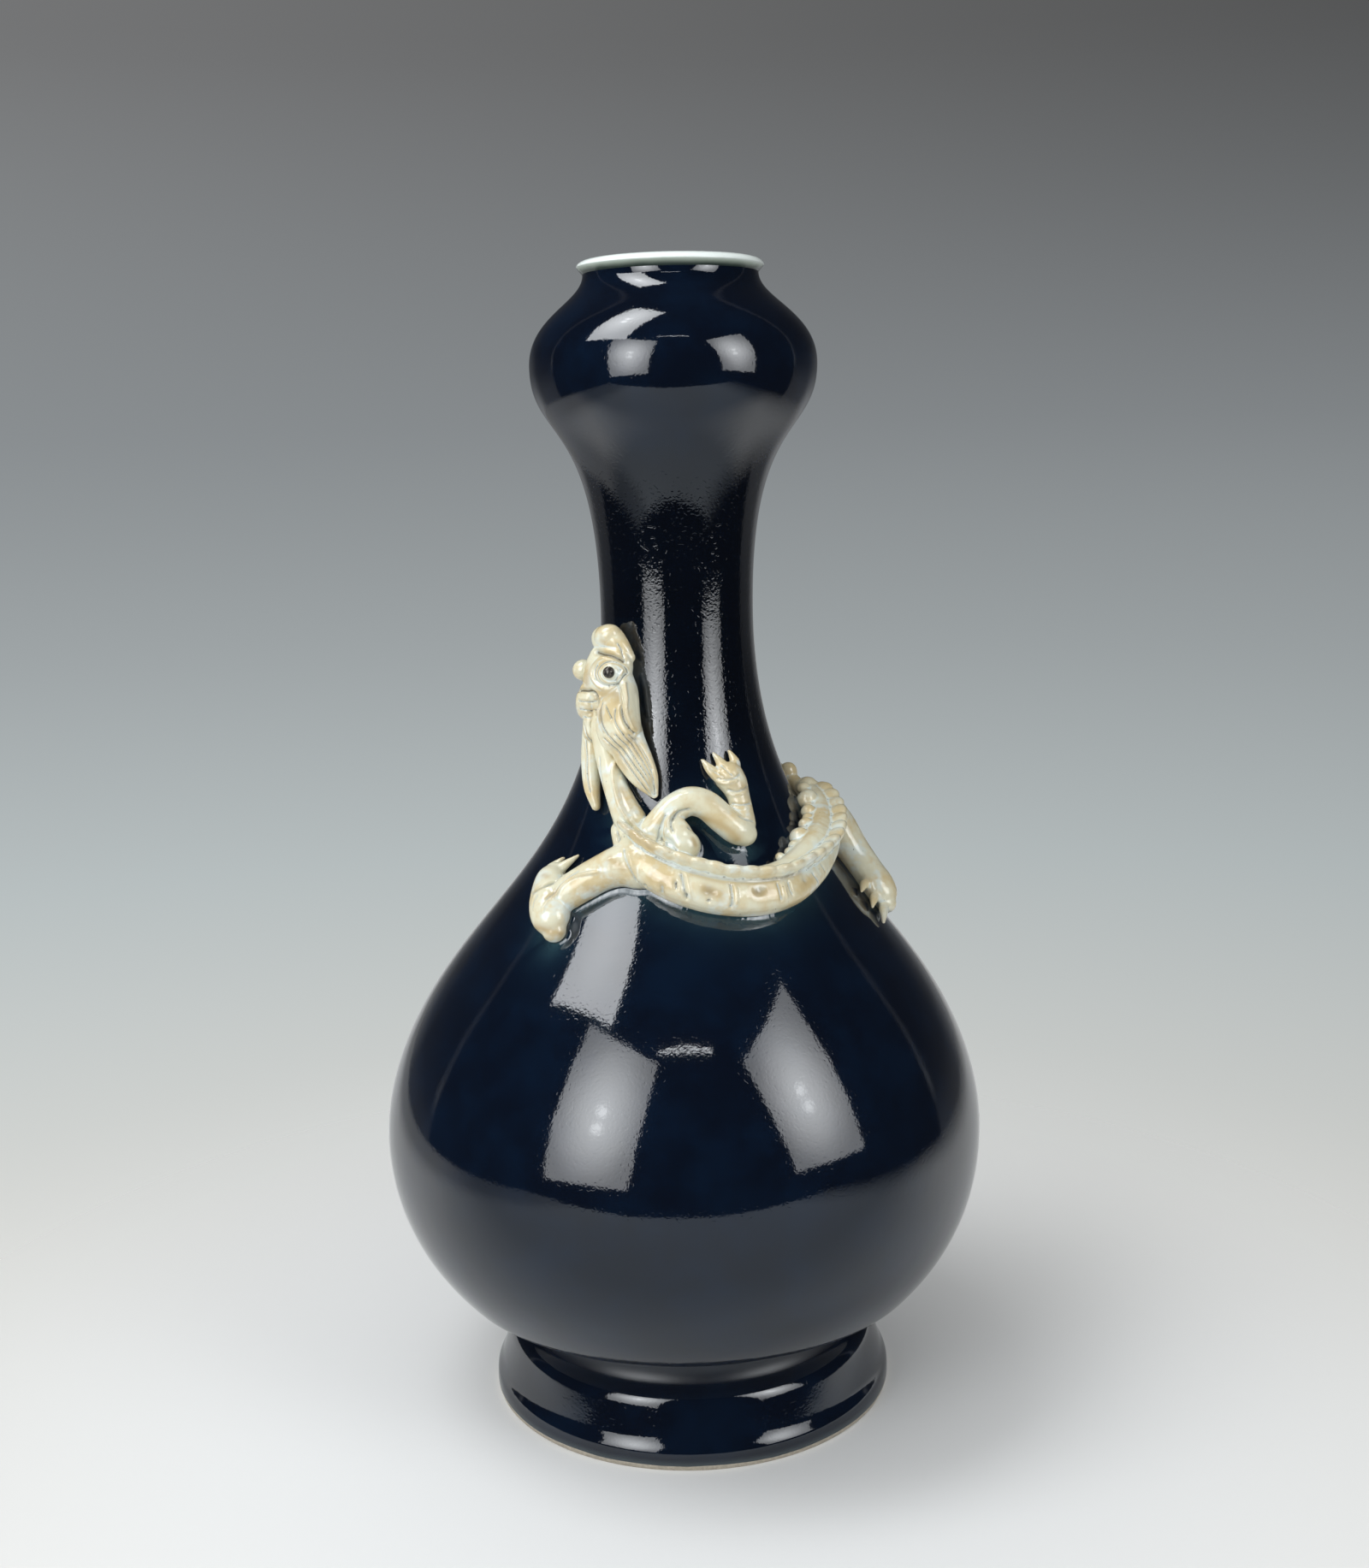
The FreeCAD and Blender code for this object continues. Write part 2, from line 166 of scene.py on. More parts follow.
def axesOf(where):
    return addNode(where.tree, "SeparateXYZ", {"Vector": where})


def painted(where, name):
    # A value painted on the mesh's points
    return addNode(where.tree, "Attribute", attribute_name=name)["Fac"]


def newMaterial(name):
    # A bare material, and the place on the object that its colours go by
    material = bpy.data.materials.new(name)
    material.use_nodes = True
    material.node_tree.nodes.clear()
    return material, addNode(material.node_tree, "TexCoord")["Object"]


def skinShader(colour, height, inputs):
    # The one shader of a surface, its skin raised by a height in metres
    bump = addNode(height.tree, "Bump", {"Height": height, "Distance": 1})
    return addNode(height.tree, "BsdfPrincipled", {"Base Color": colour, "Normal": bump, **inputs})


def finish(material, shader):
    addNode(material.node_tree, "OutputMaterial", {"Surface": shader})
    return material


# Cobalt glaze: near-black navy, paler and greener where it runs thin beside the dragon, with painted contact shade
# where the dragon meets the wall
cobaltLook = {
    "deep": (.0013, .0034, .0095),
    "lively": (.0018, .0066, .018),
    "neck": (.00039, .00102, .00285),  # the neck is darker than the body
    "wash": (.003, .012, .031),
    "thin": (.038, .09, .105),
    # painted contact shade where the dragon touches the wall
    "line": (.001, .0012, .0012),
    "roughness": .05,
    "ior": 1.85,
    "peelSize": .8 * mm,
    "peelHeight": .0105 * mm,
    "swellSize": 9 * mm,
    "swellHeight": .045 * mm,
    "pitHeight": .014 * mm,
    "neckPeel": 2.6,  # how much rougher the neck's skin is
}


def neckBand(height):
    # 1 on the neck, 0 on the body and on the bulb
    return height.between(175 * mm, 215 * mm) * (1 - height.between(272 * mm, 296 * mm))


def peel(where):
    # Orange peel, slow swells and a scatter of pinholes, as one height in metres
    look = cobaltLook
    neck = neckBand(axesOf(where)["Z"])
    fine = noise(where, 1 / look["peelSize"], 1.5) * look["peelHeight"] * (1 + neck * look["neckPeel"])
    slow = noise(where, 1 / look["swellSize"], 1) * look["swellHeight"]
    pits = noise(where, 950, 0).between(.66, .74) * look["pitHeight"] * (.25 + neck)
    return fine + slow - pits


def cobaltColour(where):
    mottle = noise(where, 60, 4, .6).between(.35, .7)
    return mix(mottle, cobaltLook["deep"], cobaltLook["lively"])


def cobaltGlaze():
    look = cobaltLook
    material, where = newMaterial("cobalt_glaze")
    colour = mix(neckBand(axesOf(where)["Z"]) * .85, cobaltColour(where), look["neck"])
    halo = painted(where, "halo")
    colour = mix(halo.power(.45) * .8, colour, look["wash"])
    streak = noise(where, 130, 4, .65)
    colour = mix((halo.power(1.5) * (.3 + 1.2 * streak)).clamped(), colour, look["thin"])
    # painted contact shade along the dragon's joint with the wall
    colour = mix(painted(where, "contact_shade"), colour, look["line"])
    inputs = {"Roughness": look["roughness"], "IOR": look["ior"]}
    return finish(material, skinShader(colour, peel(where), inputs))


# The foot carries the same glaze, thin at its edge, and a bare rim
footLook = {
    "bare": (.5, .44, .35),
    "bareDark": (.33, .285, .22),
    "bareDull": .6,
    "grainHeight": .12 * mm,
    "edge": (.045, .06, .066),
    "rimTop": 1.6 * mm,
    "edgeTop": 3.6 * mm,
    "waver": 1 * mm,
    "ledge": (21.2 * mm, 22.6 * mm),  # the glaze is dull in the corner over this ledge
    "ledgeDull": .36,
}


def footGlaze():
    look = footLook
    material, where = newMaterial("foot_glaze")
    height = axesOf(where)["Z"] + (noise(where, 45, 3) - .5) * look["waver"]
    bare = 1 - (height > look["rimTop"])
    thin = 1 - height.between(look["rimTop"], look["edgeTop"])
    colour = mix(thin * .8, cobaltColour(where), look["edge"])
    grain = noise(where, 900, 4, .7)
    clay = mix(grain.between(.3, .75), look["bareDark"], look["bare"])
    dull = axesOf(where)["Z"].between(*look["ledge"]) * look["ledgeDull"]
    inputs = {"Roughness": bare * look["bareDull"] + dull + cobaltLook["roughness"], "IOR": cobaltLook["ior"]}
    height = peel(where) + bare * grain * look["grainHeight"]
    return finish(material, skinShader(mix(bare, colour, clay), height, inputs))


# Pale glaze of the lip: white on the crown, sage and then grey-teal where it thins
lipLook = {
    "crown": (.88, .94, .9),
    "side": (.42, .49, .41),
    "foot": (.03, .045, .038),
    "low": 336.3 * mm,
    "high": 339.2 * mm,
    "waver": 1.1 * mm,
}


def lipGlaze():
    look = lipLook
    material, where = newMaterial("lip_glaze")
    height = axesOf(where)["Z"] + (noise(where, 70, 3) - .5) * look["waver"]
    stops = [(0, look["foot"]), (.45, look["side"]), (.85, look["crown"]), (1, look["crown"])]
    colour = ramp(height.between(look["low"], look["high"]), stops)
    return finish(material, skinShader(colour, peel(where), {"Roughness": .08, "IOR": 1.5}))


# Cream glaze of the dragon: tan where it is thin, bluish white where it pools, with iron specks, and painted shade in
# deep hollows and along grooves
creamLook = {
    "tan": (.69, .565, .325),
    "plain": (.78, .75, .565),
    "pool": (.77, .835, .78),
    # painted shade for deep hollows and grooves
    "crease": (.2, .17, .105),
    "stain": (.53, .395, .195),
    "speck": (.05, .035, .02),
    "fineHeight": .035 * mm,
    "softHeight": .3 * mm,
}


def creamGlaze():
    look = creamLook
    material, where = newMaterial("cream_glaze")
    drift = noise(where, 95, 4, .6)
    colour = mix(drift.between(.36, .6), look["tan"], look["plain"])
    hollow = painted(where, "hollow")
    pool = hollow.between(.02, .28) * .85 + noise(where, 150, 3, .6).between(.5, .66) * .75
    colour = mix(pool.clamped(), colour, look["pool"])
    colour = mix((painted(where, "tan") * (.4 + drift)).clamped(), colour, look["stain"])
    worn = (hollow * -1).between(.1, .45) * drift.between(.35, .65) * .7
    colour = mix(worn, colour, look["stain"])
    # painted shade: darker in deep hollows and along the pressed grooves
    deep = hollow.between(.24, .62) * .55 + painted(where, "line") * .7
    colour = mix(deep.clamped(), colour, look["crease"])
    specks = noise(where, 1500, 1).between(.74, .8) * noise(where, 190, 1).between(.5, .66)
    colour = mix(specks, colour, look["speck"])
    height = noise(where, 600) * look["fineHeight"] + noise(where, 220) * look["softHeight"]
    return finish(material, skinShader(colour, height, {"Roughness": .07, "IOR": 1.75}))


def pupilGlaze():
    # The eyes' spots of iron, a little crusty
    material, where = newMaterial("iron_spot")
    crust = noise(where, 1400, 3, .7)
    colour = mix(crust.between(.4, .7), (.02, .018, .016), (.17, .15, .13))
    return finish(material, skinShader(colour, crust * (.12 * mm), {"Roughness": .22, "Metallic": .3}))


cobalt = cobaltGlaze()
footFinish = footGlaze()
lipFinish = lipGlaze()
cream = creamGlaze()
iron = pupilGlaze()
print("glazes mixed")

# The turned outline, as the poles of smooth curves, in mm (radius, height)
vaseOutline = {
    "outside": [
        [(61.5, 1.2), (61.6, 2.2), (61.5, 3.6), (61.4, 4.6)],
        [(61.4, 4.6), (61.2, 6), (60.6, 6.6), (60.2, 7.2), (59.75, 8.2), (59.45, 9.1)],
        [(59.45, 9.1), (57, 17)],
        [(57, 17), (56.4, 18.8), (55.7, 20.3), (54.2, 20.7), (52.6, 20.9), (50.8, 22.8), (50.8, 27)],
        [(50.8, 27), (50.8, 31), (61, 35), (71.2, 36.9), (73, 38.9)],
        [(73, 38.9), (79.3, 46), (90, 60), (90, 83.5)],
        [(90, 83.5), (90, 115.55), (67.62, 151.83), (40.79, 157.3), (22.4, 190.29), (22.4, 240.5)],
        [(22.4, 240.5), (22.4, 297.6), (41, 289.4), (41, 310.7)],
        [(41, 310.7), (41, 324.98), (25, 328.55), (25, 336.2)],
    ],
    "inside": [
        [(40, 36.5), (58, 38.5), (72, 44), (85, 60), (85, 83.5)],
        [(85, 83.5), (85, 115.55), (62.62, 151.83), (35.79, 157.3), (17.4, 190.29), (17.4, 245.8)],
        [(17.4, 245.8), (17.4, 298.2), (36, 289.4), (36, 310.7)],
        [(36, 310.7), (36, 324.98), (20, 328.55), (20, 336.2)],
    ],
    "recess": [[(43, 27), (48.3, 15.66), (48.3, 2.7), (53.6, 0)]],
    "lipOutside": [[(25, 336.2), (26.7, 338.1)], [(26.7, 338.1), (26.7, 339.1), (25.2, 340), (23.35, 340)]],
    "lipInside": [[(23.35, 340), (21.5, 340), (20, 339.1), (20, 338.1)], [(20, 338.1), (20, 336.2)]],
}
seamRow = .06  # mm between the last two rows at a seam, so that two pieces shade alike there


def curveThrough(poles, count):
    t = np.linspace(0, 1, count)[:, None]
    last = len(poles) - 1
    weights = [math.comb(last, i) * t ** i * (1 - t) ** (last - i) for i in range(last + 1)]
    return sum(weight * np.array(pole, float) for weight, pole in zip(weights, poles))


def lineOf(name):
    runs = [curveThrough(poles, 400) for poles in vaseOutline[name]]
    return np.vstack([runs[0]] + [run[1:] for run in runs[1:]])


def lengthAlong(points):
    return np.concatenate([[0], np.cumsum(np.linalg.norm(np.diff(points, axis=0), axis=1))])


def runBetween(line, low, high, step, seams=True):
    # Points about a step apart along an outline, from one height to another
    z = line[:, 1]
    inner = line[(z > low) & (z < high)]
    ends = [(np.interp(h, z, line[:, 0]), h) for h in (low, high)]
    run = np.vstack([ends[:1], inner, ends[1:]])
    along = lengthAlong(run)
    places = np.linspace(0, along[-1], max(int(along[-1] / step), 2) + 1)
    if seams:
        places = np.sort(np.concatenate([places, [seamRow, along[-1] - seamRow]]))
    return np.stack([np.interp(places, along, run[:, k]) for k in (0, 1)], 1)


def makeMesh(name, points, edges, faces=()):
    mesh = bpy.data.meshes.new(name)
    mesh.from_pydata((np.asarray(points) * mm).tolist(), edges, faces)
    return linkObject(name, mesh)


def turnPiece(name, outline, steps, closed=True):
    # Spin an outline about the vase's axis, as on the wheel
    last = len(outline) - 1
    edges = [(i, i + 1) for i in range(last)] + [(last, 0)] * closed
    piece = makeMesh(name, [(x, 0, z) for x, z in outline], edges)
    choose(piece)
    setMode("EDIT")
    bpy.ops.mesh.select_all(action="SELECT")
    bpy.ops.mesh.spin(steps=steps, angle=2 * math.pi, center=(0, 0, 0), axis=(0, 0, 1))
    bpy.ops.mesh.select_all(action="SELECT")
    bpy.ops.mesh.remove_doubles(threshold=.001 * mm)
    bpy.ops.mesh.normals_make_consistent(inside=False)
    setMode("OBJECT")
    bpy.ops.object.shade_smooth_by_angle(angle=.7)
    return piece


def setMode(mode):
    bpy.ops.object.mode_set(mode=mode)


def choose(*objects):
    bpy.ops.object.select_all(action="DESELECT")
    for each in objects:
        each.select_set(True)
    bpy.context.view_layer.objects.active = objects[0]


def settle(piece, material, slot, *nodes):
    # Give a finished piece its glaze and its body, and hide the nodes it stands for
    piece.data.materials.clear()
    piece.data.materials.append(material)
    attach(piece, "root")
    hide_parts(*nodes)
    return piece


outside, inside = lineOf("outside"), lineOf("inside")
lipOuter, lipInner = lineOf("lipOutside"), lineOf("lipInside")

# The thrown pieces: heights of their seams, mm between rows and steps round the axis
turned = {
    "foot": {"low": 1.2, "high": 27, "step": .5, "steps": 320},
    "belly": {"low": 27, "high": 83.5, "step": 1.5, "steps": 384, "floor": 36.5},
    "shoulder": {"low": 83.5, "high": 190, "step": 1.25, "steps": 360},
    "neck": {"low": 190, "high": 283, "step": 1, "steps": 300},
    "bulb": {"low": 283, "high": 336.2, "step": .9, "steps": 300},
}


def wallRun(size, seams=True):
    return runBetween(outside, size["low"], size["high"], size["step"], seams)


size = turned["foot"]
rimRun, footTop, recessEdge = [(60.9, 0), (61.2, .3)], [(49.8, 27), (44, 27)], [(53.6, 0)]
footRun = np.vstack([rimRun, wallRun(size, False), footTop, lineOf("recess")[::40], recessEdge])
foot = settle(turnPiece("vase_foot", footRun, size["steps"]), footFinish, "cobalt_glaze", "stem_foot")

size = turned["belly"]
bowlStep, hollowStep = 6, 8  # mm between rows on the inside
bowl = runBetween(inside, size["floor"], size["high"], bowlStep, False)[::-1]
bellyRun = np.vstack([[(0, size["low"]), (48, size["low"])], wallRun(size), bowl, [(0, size["floor"])]])
belly = settle(turnPiece("vase_belly", bellyRun, size["steps"], False), cobalt, "cobalt_glaze", "body_lower")

turnedPieces = {}
for name, node in (("shoulder", "body_upper"), ("neck", "neck"), ("bulb", "mouth_bulb")):
    size = turned[name]
    hollow = runBetween(inside, size["low"], size["high"], hollowStep, False)[::-1]
    piece = turnPiece("vase_" + name, np.vstack([wallRun(size), hollow]), size["steps"])
    turnedPieces[name] = settle(piece, cobalt, "cobalt_glaze", node)

lipRun = np.vstack([curveThrough([(20, 336.2), (25, 336.2)], 3), lipOuter[40:400:60], lipOuter[400::25],
                    lipInner[1:400:25], lipInner[420:780:60]])
lipSteps = 240
lip = settle(turnPiece("vase_lip", lipRun, lipSteps), lipFinish, "white_glaze", "lip_ring")
print("vase turned")

# The vase's wall as a surface: radius by height, and how it leans
vaseHeight = 340
wallHeights = np.linspace(2, 336, 3341)
wallRadii = np.interp(wallHeights, outside[:, 1], outside[:, 0])
wallLean = np.gradient(wallRadii, wallHeights)


def wallAt(height):
    # The wall's radius and how it leans, at a height in mm
    return np.interp(height, wallHeights, wallRadii), np.interp(height, wallHeights, wallLean)


def onWall(angle, share, lift):
    # Points over the wall, in mm, and the wall's outward normals there
    turn = np.radians(np.asarray(angle, float))
    height = np.asarray(share, float) * vaseHeight
    radius, lean = wallAt(height)
    size = np.sqrt(1 + lean ** 2)
    normal = np.stack([np.sin(turn) / size, -np.cos(turn) / size, -lean / size], -1)
    foot = np.stack([np.sin(turn) * radius, -np.cos(turn) * radius, height], -1)
    return foot + normal * np.asarray(lift, float)[..., None], normal


def smoothPath(rows, perRow):
    # More rows between the rows of a path, each a smooth blend of the four round it
    rows = np.array(rows, float)
    last = len(rows) - 1
    places = np.linspace(0, last, last * perRow + 1)
    start = np.minimum(places.astype(int), last - 1)
    t = (places - start)[:, None]
    a, b, c, d = (rows[np.clip(start + k, 0, last)] for k in (-1, 0, 1, 2))
    return b + .5 * t * (c - a + t * (2 * a - 5 * b + 4 * c - d + t * (3 * (b - c) + d - a)))


def unit(vectors):
    return vectors / np.linalg.norm(vectors, axis=-1, keepdims=True)


def placePoints(thing, points):
    # Move the points of a mesh to places in mm
    thing.data.vertices.foreach_set("co", (points * mm).ravel())
    thing.data.update()


rollSides, rowsPerRow = 24, 7


def roll(rows, width, height, square=2, wave=None):
    # A roll of clay laid along a path of (angle, share of height, lift share, size), its ends rounded
    sides = rollSides
    table = smoothPath(rows, rowsPerRow)
    middles, normals = onWall(table[:, 0], table[:, 1], table[:, 2] * height)
    sizes = table[:, 3]
    forward = unit(np.gradient(middles, axis=0))
    if wave:
        length, depth = wave
        scallops = np.abs(np.sin(lengthAlong(middles) * math.pi / length)) ** .7
        sizes = sizes * (1 + depth * scallops - depth / 2)
    across = unit(np.cross(normals, forward))
    up = np.cross(forward, across)
    cap = [(math.sin(math.radians(phi)), math.cos(math.radians(phi))) for phi in (28, 55, 80)]
    rings = [(0, -ahead, share) for ahead, share in cap[::-1]]
    rings += [(i, 0, 1) for i in range(len(middles))]
    rings += [(len(middles) - 1, ahead, share) for ahead, share in cap]
    around = np.linspace(0, 2 * math.pi, sides, endpoint=False)
    u, v = (np.sign(f) * np.abs(f) ** (2 / square) for f in (np.cos(around), np.sin(around)))
    points = []
    for i, ahead, share in rings:
        middle = middles[i] + forward[i] * (ahead * sizes[i] * min(width, height) / 2)
        size = sizes[i] * share / 2
        points.append(middle + np.outer(u, across[i]) * size * width + np.outer(v, up[i]) * size * height)
    count = len(points)
    corners = [(j, (j + 1) % sides) for j in range(sides)]
    faces = [[i * sides + j, i * sides + k, (i + 1) * sides + k, (i + 1) * sides + j]
             for i in range(count - 1) for j, k in corners]
    faces += [list(range(sides))[::-1], [(count - 1) * sides + j for j in range(sides)]]
    return makeMesh("roll", np.vstack(points), [], faces)


def lump(angle, share, lift, wide, tall, deep, turn=0):
    # A pressed pellet: half sizes along the wall, up it and out of it, turned on the wall by degrees
    middle, normal = onWall(angle, share, lift)
    level = unit(np.cross([0, 0, 1], normal))
    top = np.cross(normal, level)
    c, s = math.cos(math.radians(turn)), math.sin(math.radians(turn))
    level, top = level * c + top * s, top * c - level * s
    bpy.ops.mesh.primitive_uv_sphere_add(segments=28, ring_count=18, radius=1)
    ball = bpy.context.object
    points = np.array([tuple(vertex.co) for vertex in ball.data.vertices])
    placePoints(ball, middle + points[:, :1] * level * wide + points[:, 1:2] * top * tall
                + points[:, 2:] * normal * deep)
    return ball


def merge(name, parts, grain, rounds):
    # Press the parts into one skin and smooth it as wet fingers would
    choose(*parts)
    bpy.ops.object.join()
    skin = bpy.context.object
    skin.name = name
    setMode("EDIT")
    bpy.ops.mesh.select_all(action="SELECT")
    bpy.ops.mesh.normals_make_consistent(inside=False)
    setMode("OBJECT")
    remesh = skin.modifiers.new("skin", "REMESH")
    remesh.mode = "VOXEL"
    remesh.voxel_size = grain * mm
    bpy.ops.object.modifier_apply(modifier="skin")
    soften = skin.modifiers.new("soften", "SMOOTH")
    soften.factor = .5
    soften.iterations = rounds
    bpy.ops.object.modifier_apply(modifier="soften")
    bpy.ops.object.shade_smooth()
    return skin


def meshArrays(thing):
    mesh = thing.data
    points, normals = np.empty((2, len(mesh.vertices) * 3))
    mesh.vertices.foreach_get("co", points)
    mesh.vertex_normals.foreach_get("vector", normals)
    return points.reshape(-1, 3) / mm, normals.reshape(-1, 3)


strokeStart = 45  # mm over the wall, from where a stroke is dropped on the skin
strokeStep = .2  # mm between its points
strokeDepth = 1.35  # how hard every stroke is pressed
farOff = 99.0  # mm, out of reach of everything


def pairsOf(numbers):
    # Angles and shares of height, from numbers that give the share in ten-thousandths
    return np.reshape(numbers, (-1, 2)) / (1, 10000)


def strokeOn(tree, path):
    # Lay a stroke's points on a skin, closely spaced, with how far each is from its ends
    path = pairsOf(path)
    rows = smoothPath(path, 8) if len(path) > 1 else path
    starts, normals = onWall(rows[:, 0], rows[:, 1], strokeStart)
    laid = []
    for start, normal in zip(starts, normals):
        found = tree.ray_cast(Vector(start * mm), Vector(-normal))[0]
        if found is not None:
            laid.append(np.array(found) / mm)
    if not laid:
        return np.zeros((0, 3)), np.zeros(0)
    laid = np.array(laid)
    if len(laid) > 1:
        gone = lengthAlong(laid)
        fine = np.arange(0, gone[-1], strokeStep)
        laid = np.stack([np.interp(fine, gone, laid[:, k]) for k in range(3)], 1)
        ends = np.minimum(fine, gone[-1] - fine)
    else:
        ends = np.full(1, farOff)
    return laid, ends


def strokeField(points, laid, ends, width):
    # 1 on a stroke, falling off sideways and towards its ends
    field = np.zeros(len(points))
    if not len(laid):
        return field
    reach = 2.6 * width
    near = np.all((points > laid.min(0) - reach) & (points < laid.max(0) + reach), axis=1)
    index = np.nonzero(near)[0]
    for block in np.array_split(index, max(len(index) * len(laid) // 4000000, 1)):
        gap = np.linalg.norm(points[block][:, None] - laid[None], axis=2)
        nearest = gap.argmin(1)
        gap = gap[np.arange(len(block)), nearest]
        taper = np.clip((ends[nearest] + strokeStep) / (1.6 * width), 0, 1)
        field[block] = np.exp(-(gap / width) ** 2) * taper
    return field


def cupping(thing, points, normals, rounds=3):
    # How hollow the skin is round each vertex, as a rise per mm
    mesh = thing.data
    edges = np.empty(len(mesh.edges) * 2, int)
    mesh.edges.foreach_get("vertices", edges)
    edges = edges.reshape(-1, 2)
    a, b = edges[:, 0], edges[:, 1]
    count = np.bincount(edges.ravel(), minlength=len(points)).clip(1)
    away = points[b] - points[a]
    length = np.linalg.norm(away, axis=1) ** 2 + 1e-9
    rise = np.bincount(a, (away * normals[a]).sum(1) / length, len(points))
    rise -= np.bincount(b, (away * normals[b]).sum(1) / length, len(points))
    field = rise / count
    for each in range(rounds):
        spread = np.bincount(a, field[b], len(points)) + np.bincount(b, field[a], len(points))
        field = .5 * field + .5 * spread / count
    return field


def paint(thing, name, values):
    layer = thing.data.attributes.new(name, "FLOAT", "POINT")
    layer.data.foreach_set("value", np.asarray(values, np.float32))


def sculpt(skin, strokes, stains, press=1):
    # Press grooves (depth over zero) and raise ridges (under zero), then note hollows, stains, pools and the grooves'
    # lines, along which shade is painted
    points, normals = meshArrays(skin)
    tree = BVHTree.FromPolygons((points * mm).tolist(), [tuple(p.vertices) for p in skin.data.polygons])
    push, line, tan = np.zeros((3, len(points)))
    for depth, width, *path in strokes:
        laid, ends = strokeOn(tree, path)
        field = strokeField(points, laid, ends, width)
        push -= depth * strokeDepth * press * field
        # the grooves' lines, along which the cream glaze gets painted shade
        if depth > 0:
            line = np.maximum(line, field * min(depth / .8, 1))
    for amount, width, *path in stains:
        laid, ends = strokeOn(tree, path)
        tan += amount * strokeField(points, laid, np.full(len(ends), farOff), width)
    points = points + normals * push[:, None]
    placePoints(skin, points)
    for name, values in (("hollow", cupping(skin, *meshArrays(skin))), ("line", line), ("tan", tan)):
        paint(skin, name, values)


# Paths of the dragon's rolls, as in the part's source: angle, share of height, share of lift and size of each row
dragonPaths = {
    "torso": [-25, .533, .25, .56, -16, .515, .38, .9, -8, .502, .42, .96, 2, .492, .42, 1, 12, .485, .42, 1,
        24, .4815, .42, 1, 35, .484, .42, .98, 46, .492, .42, .94, 57, .5015, .42, .9, 68, .5095, .4, .84,
        79, .518, .4, .78, 89, .527, .4, .72, 98, .535, .4, .5],
    "neck": [-52, .64, .5, .8, -48.5, .616, .46, .94, -44, .5975, .42, .9, -38.5, .581, .4, .92, -31, .561, .4, 1,
        -22, .539, .42, 1.3],
    "tail": [97, .534, .42, .9, 108, .5415, .38, .84, 120, .549, .38, .88, 140, .56, .38, .94, 162, .559, .38, .88,
        184, .547, .38, .8, 203, .524, .38, .72, 218, .493, .38, .6],
    "fork": [217, .495, .3, .56, 226, .482, .36, .6, 236, .48, .36, .46, 245, .489, .2, .1],
    "tip": [216, .498, .3, .56, 222, .472, .36, .66, 224, .448, .36, .48, 220, .428, .2, .1],
    "rightArm": [-13, .527, .35, .98, -7.4, .5405, .42, 1, -2, .55, .42, 1, 4.7, .5545, .42, 1, 11.6, .5505, .42, 1,
        17.5, .5395, .42, 1, 22.6, .53, .42, 1, 26.2, .526, .38, .88],
    "curl": [-5.5, .539, .5, .8, -3.2, .533, .56, 1, -1, .5265, .56, 1.05, .6, .5195, .5, 1],
    "rightForearm": [25.6, .523, .3, .56, 26.3, .532, .4, .94, 27.7, .544, .4, .82, 28, .556, .38, .8,
        27.1, .566, .36, .98, 25.2, .5735, .32, 1.06],
    "leftArm": [-8, .504, .3, 1.3, -15, .505, .36, 1.55, -22, .504, .38, 1.42, -28.5, .498, .38, 1.24,
        -34.6, .489, .38, 1.2, -39.4, .48, .38, 1.16, -42.5, .471, .36, 1],
    "leftForearm": [-38.9, .4535, .3, .85, -40.4, .4585, .42, 1.26, -43, .466, .46, 1.42, -46.6, .477, .44, 1.3,
        -49.6, .486, .4, 1.08, -51, .492, .3, .8],
    "rightHind": [100, .538, .4, .66, 98, .522, .455, 1.04, 96, .501, .49, 1.1, 93.5, .479, .42, 1,
        90, .462, .38, .96, 87, .452, .36, .98, 85, .445, .34, .84, 84, .4405, .3, .56],
    "leftHind": [113, .552, .34, .55, 121, .539, .38, .72, 128, .519, .4, .8, 134, .496, .4, .74, 138, .477, .38, .8,
        140, .466, .34, .78, 140.5, .462, .3, .56],
    "rightLock": [-38.5, .654, .55, .76, -36.5, .6395, .72, 1, -33.5, .622, .8, 1.08, -28.6, .6015, .8, 1.08,
        -22, .585, .76, .96, -16.4, .5712, .62, .7, -12.2, .5595, .4, .2],
    "leftLock": [-60, .63, .75, .96, -57.5, .614, .82, 1.06, -55, .599, .84, 1.1, -52, .582, .8, 1.08,
        -47.2, .562, .7, .92, -43, .5475, .44, .5],
    "head": [-42, .682, .34, .6, -43.2, .674, .42, .86, -45, .662, .48, .98, -47.2, .649, .5, .96,
        -49.2, .636, .48, .84, -50.4, .625, .42, .62],
    "cheek": [-32, .66, .66, .8, -28, .646, .74, 1, -25.4, .628, .8, 1, -22, .612, .8, .7],
    "chin": [-51, .63, .8, .8, -52.5, .618, .84, 1, -52, .605, .8, .9],
    "snout": [-52, .65, .76, .62, -53.5, .643, .84, 1, -55, .634, .86, 1.12, -55.5, .625, .8, 1.02,
        -55, .6185, .7, .62],
    "crest": [-31.5, .6735, .42, .42, -34.5, .6785, .5, .6, -38.5, .684, .56, .8, -44.5, .689, .6, 1.02,
        -51.5, .688, .6, 1.04, -57.5, .685, .54, .64],
    "ridge": [-22, .531, 1.7, .7, -16, .522, 1.8, .9, -10.6, .514, 1.86, 1, -3.3, .506, 1.86, 1, 2.9, .5003, 1.86, 1,
        8.3, .4965, 1.86, 1, 13.6, .4921, 1.86, 1, 19.6, .4897, 1.86, 1, 25.8, .4879, 1.86, 1, 32, .4879, 1.86, 1,
        39.7, .4909, 1.84, 1.05, 47.3, .4947, 1.78, 1.1, 56.2, .4999, 1.7, 1.15, 63.4, .505, 1.62, 1.2,
        70.5, .511, 1.55, 1.2, 78, .518, 1.5, 1.2, 84, .524, 1.45, 1.15, 90, .531, 1.4, 1.05, 96, .537, 1.3, .8],
    "beard": [-38, .65, .6, .8, -36, .638, .7, 1, -34.5, .625, .78, 1.05, -33, .613, .8, 1.05, -32, .603, .78, .9,
        -31, .596, .7, .6],
}
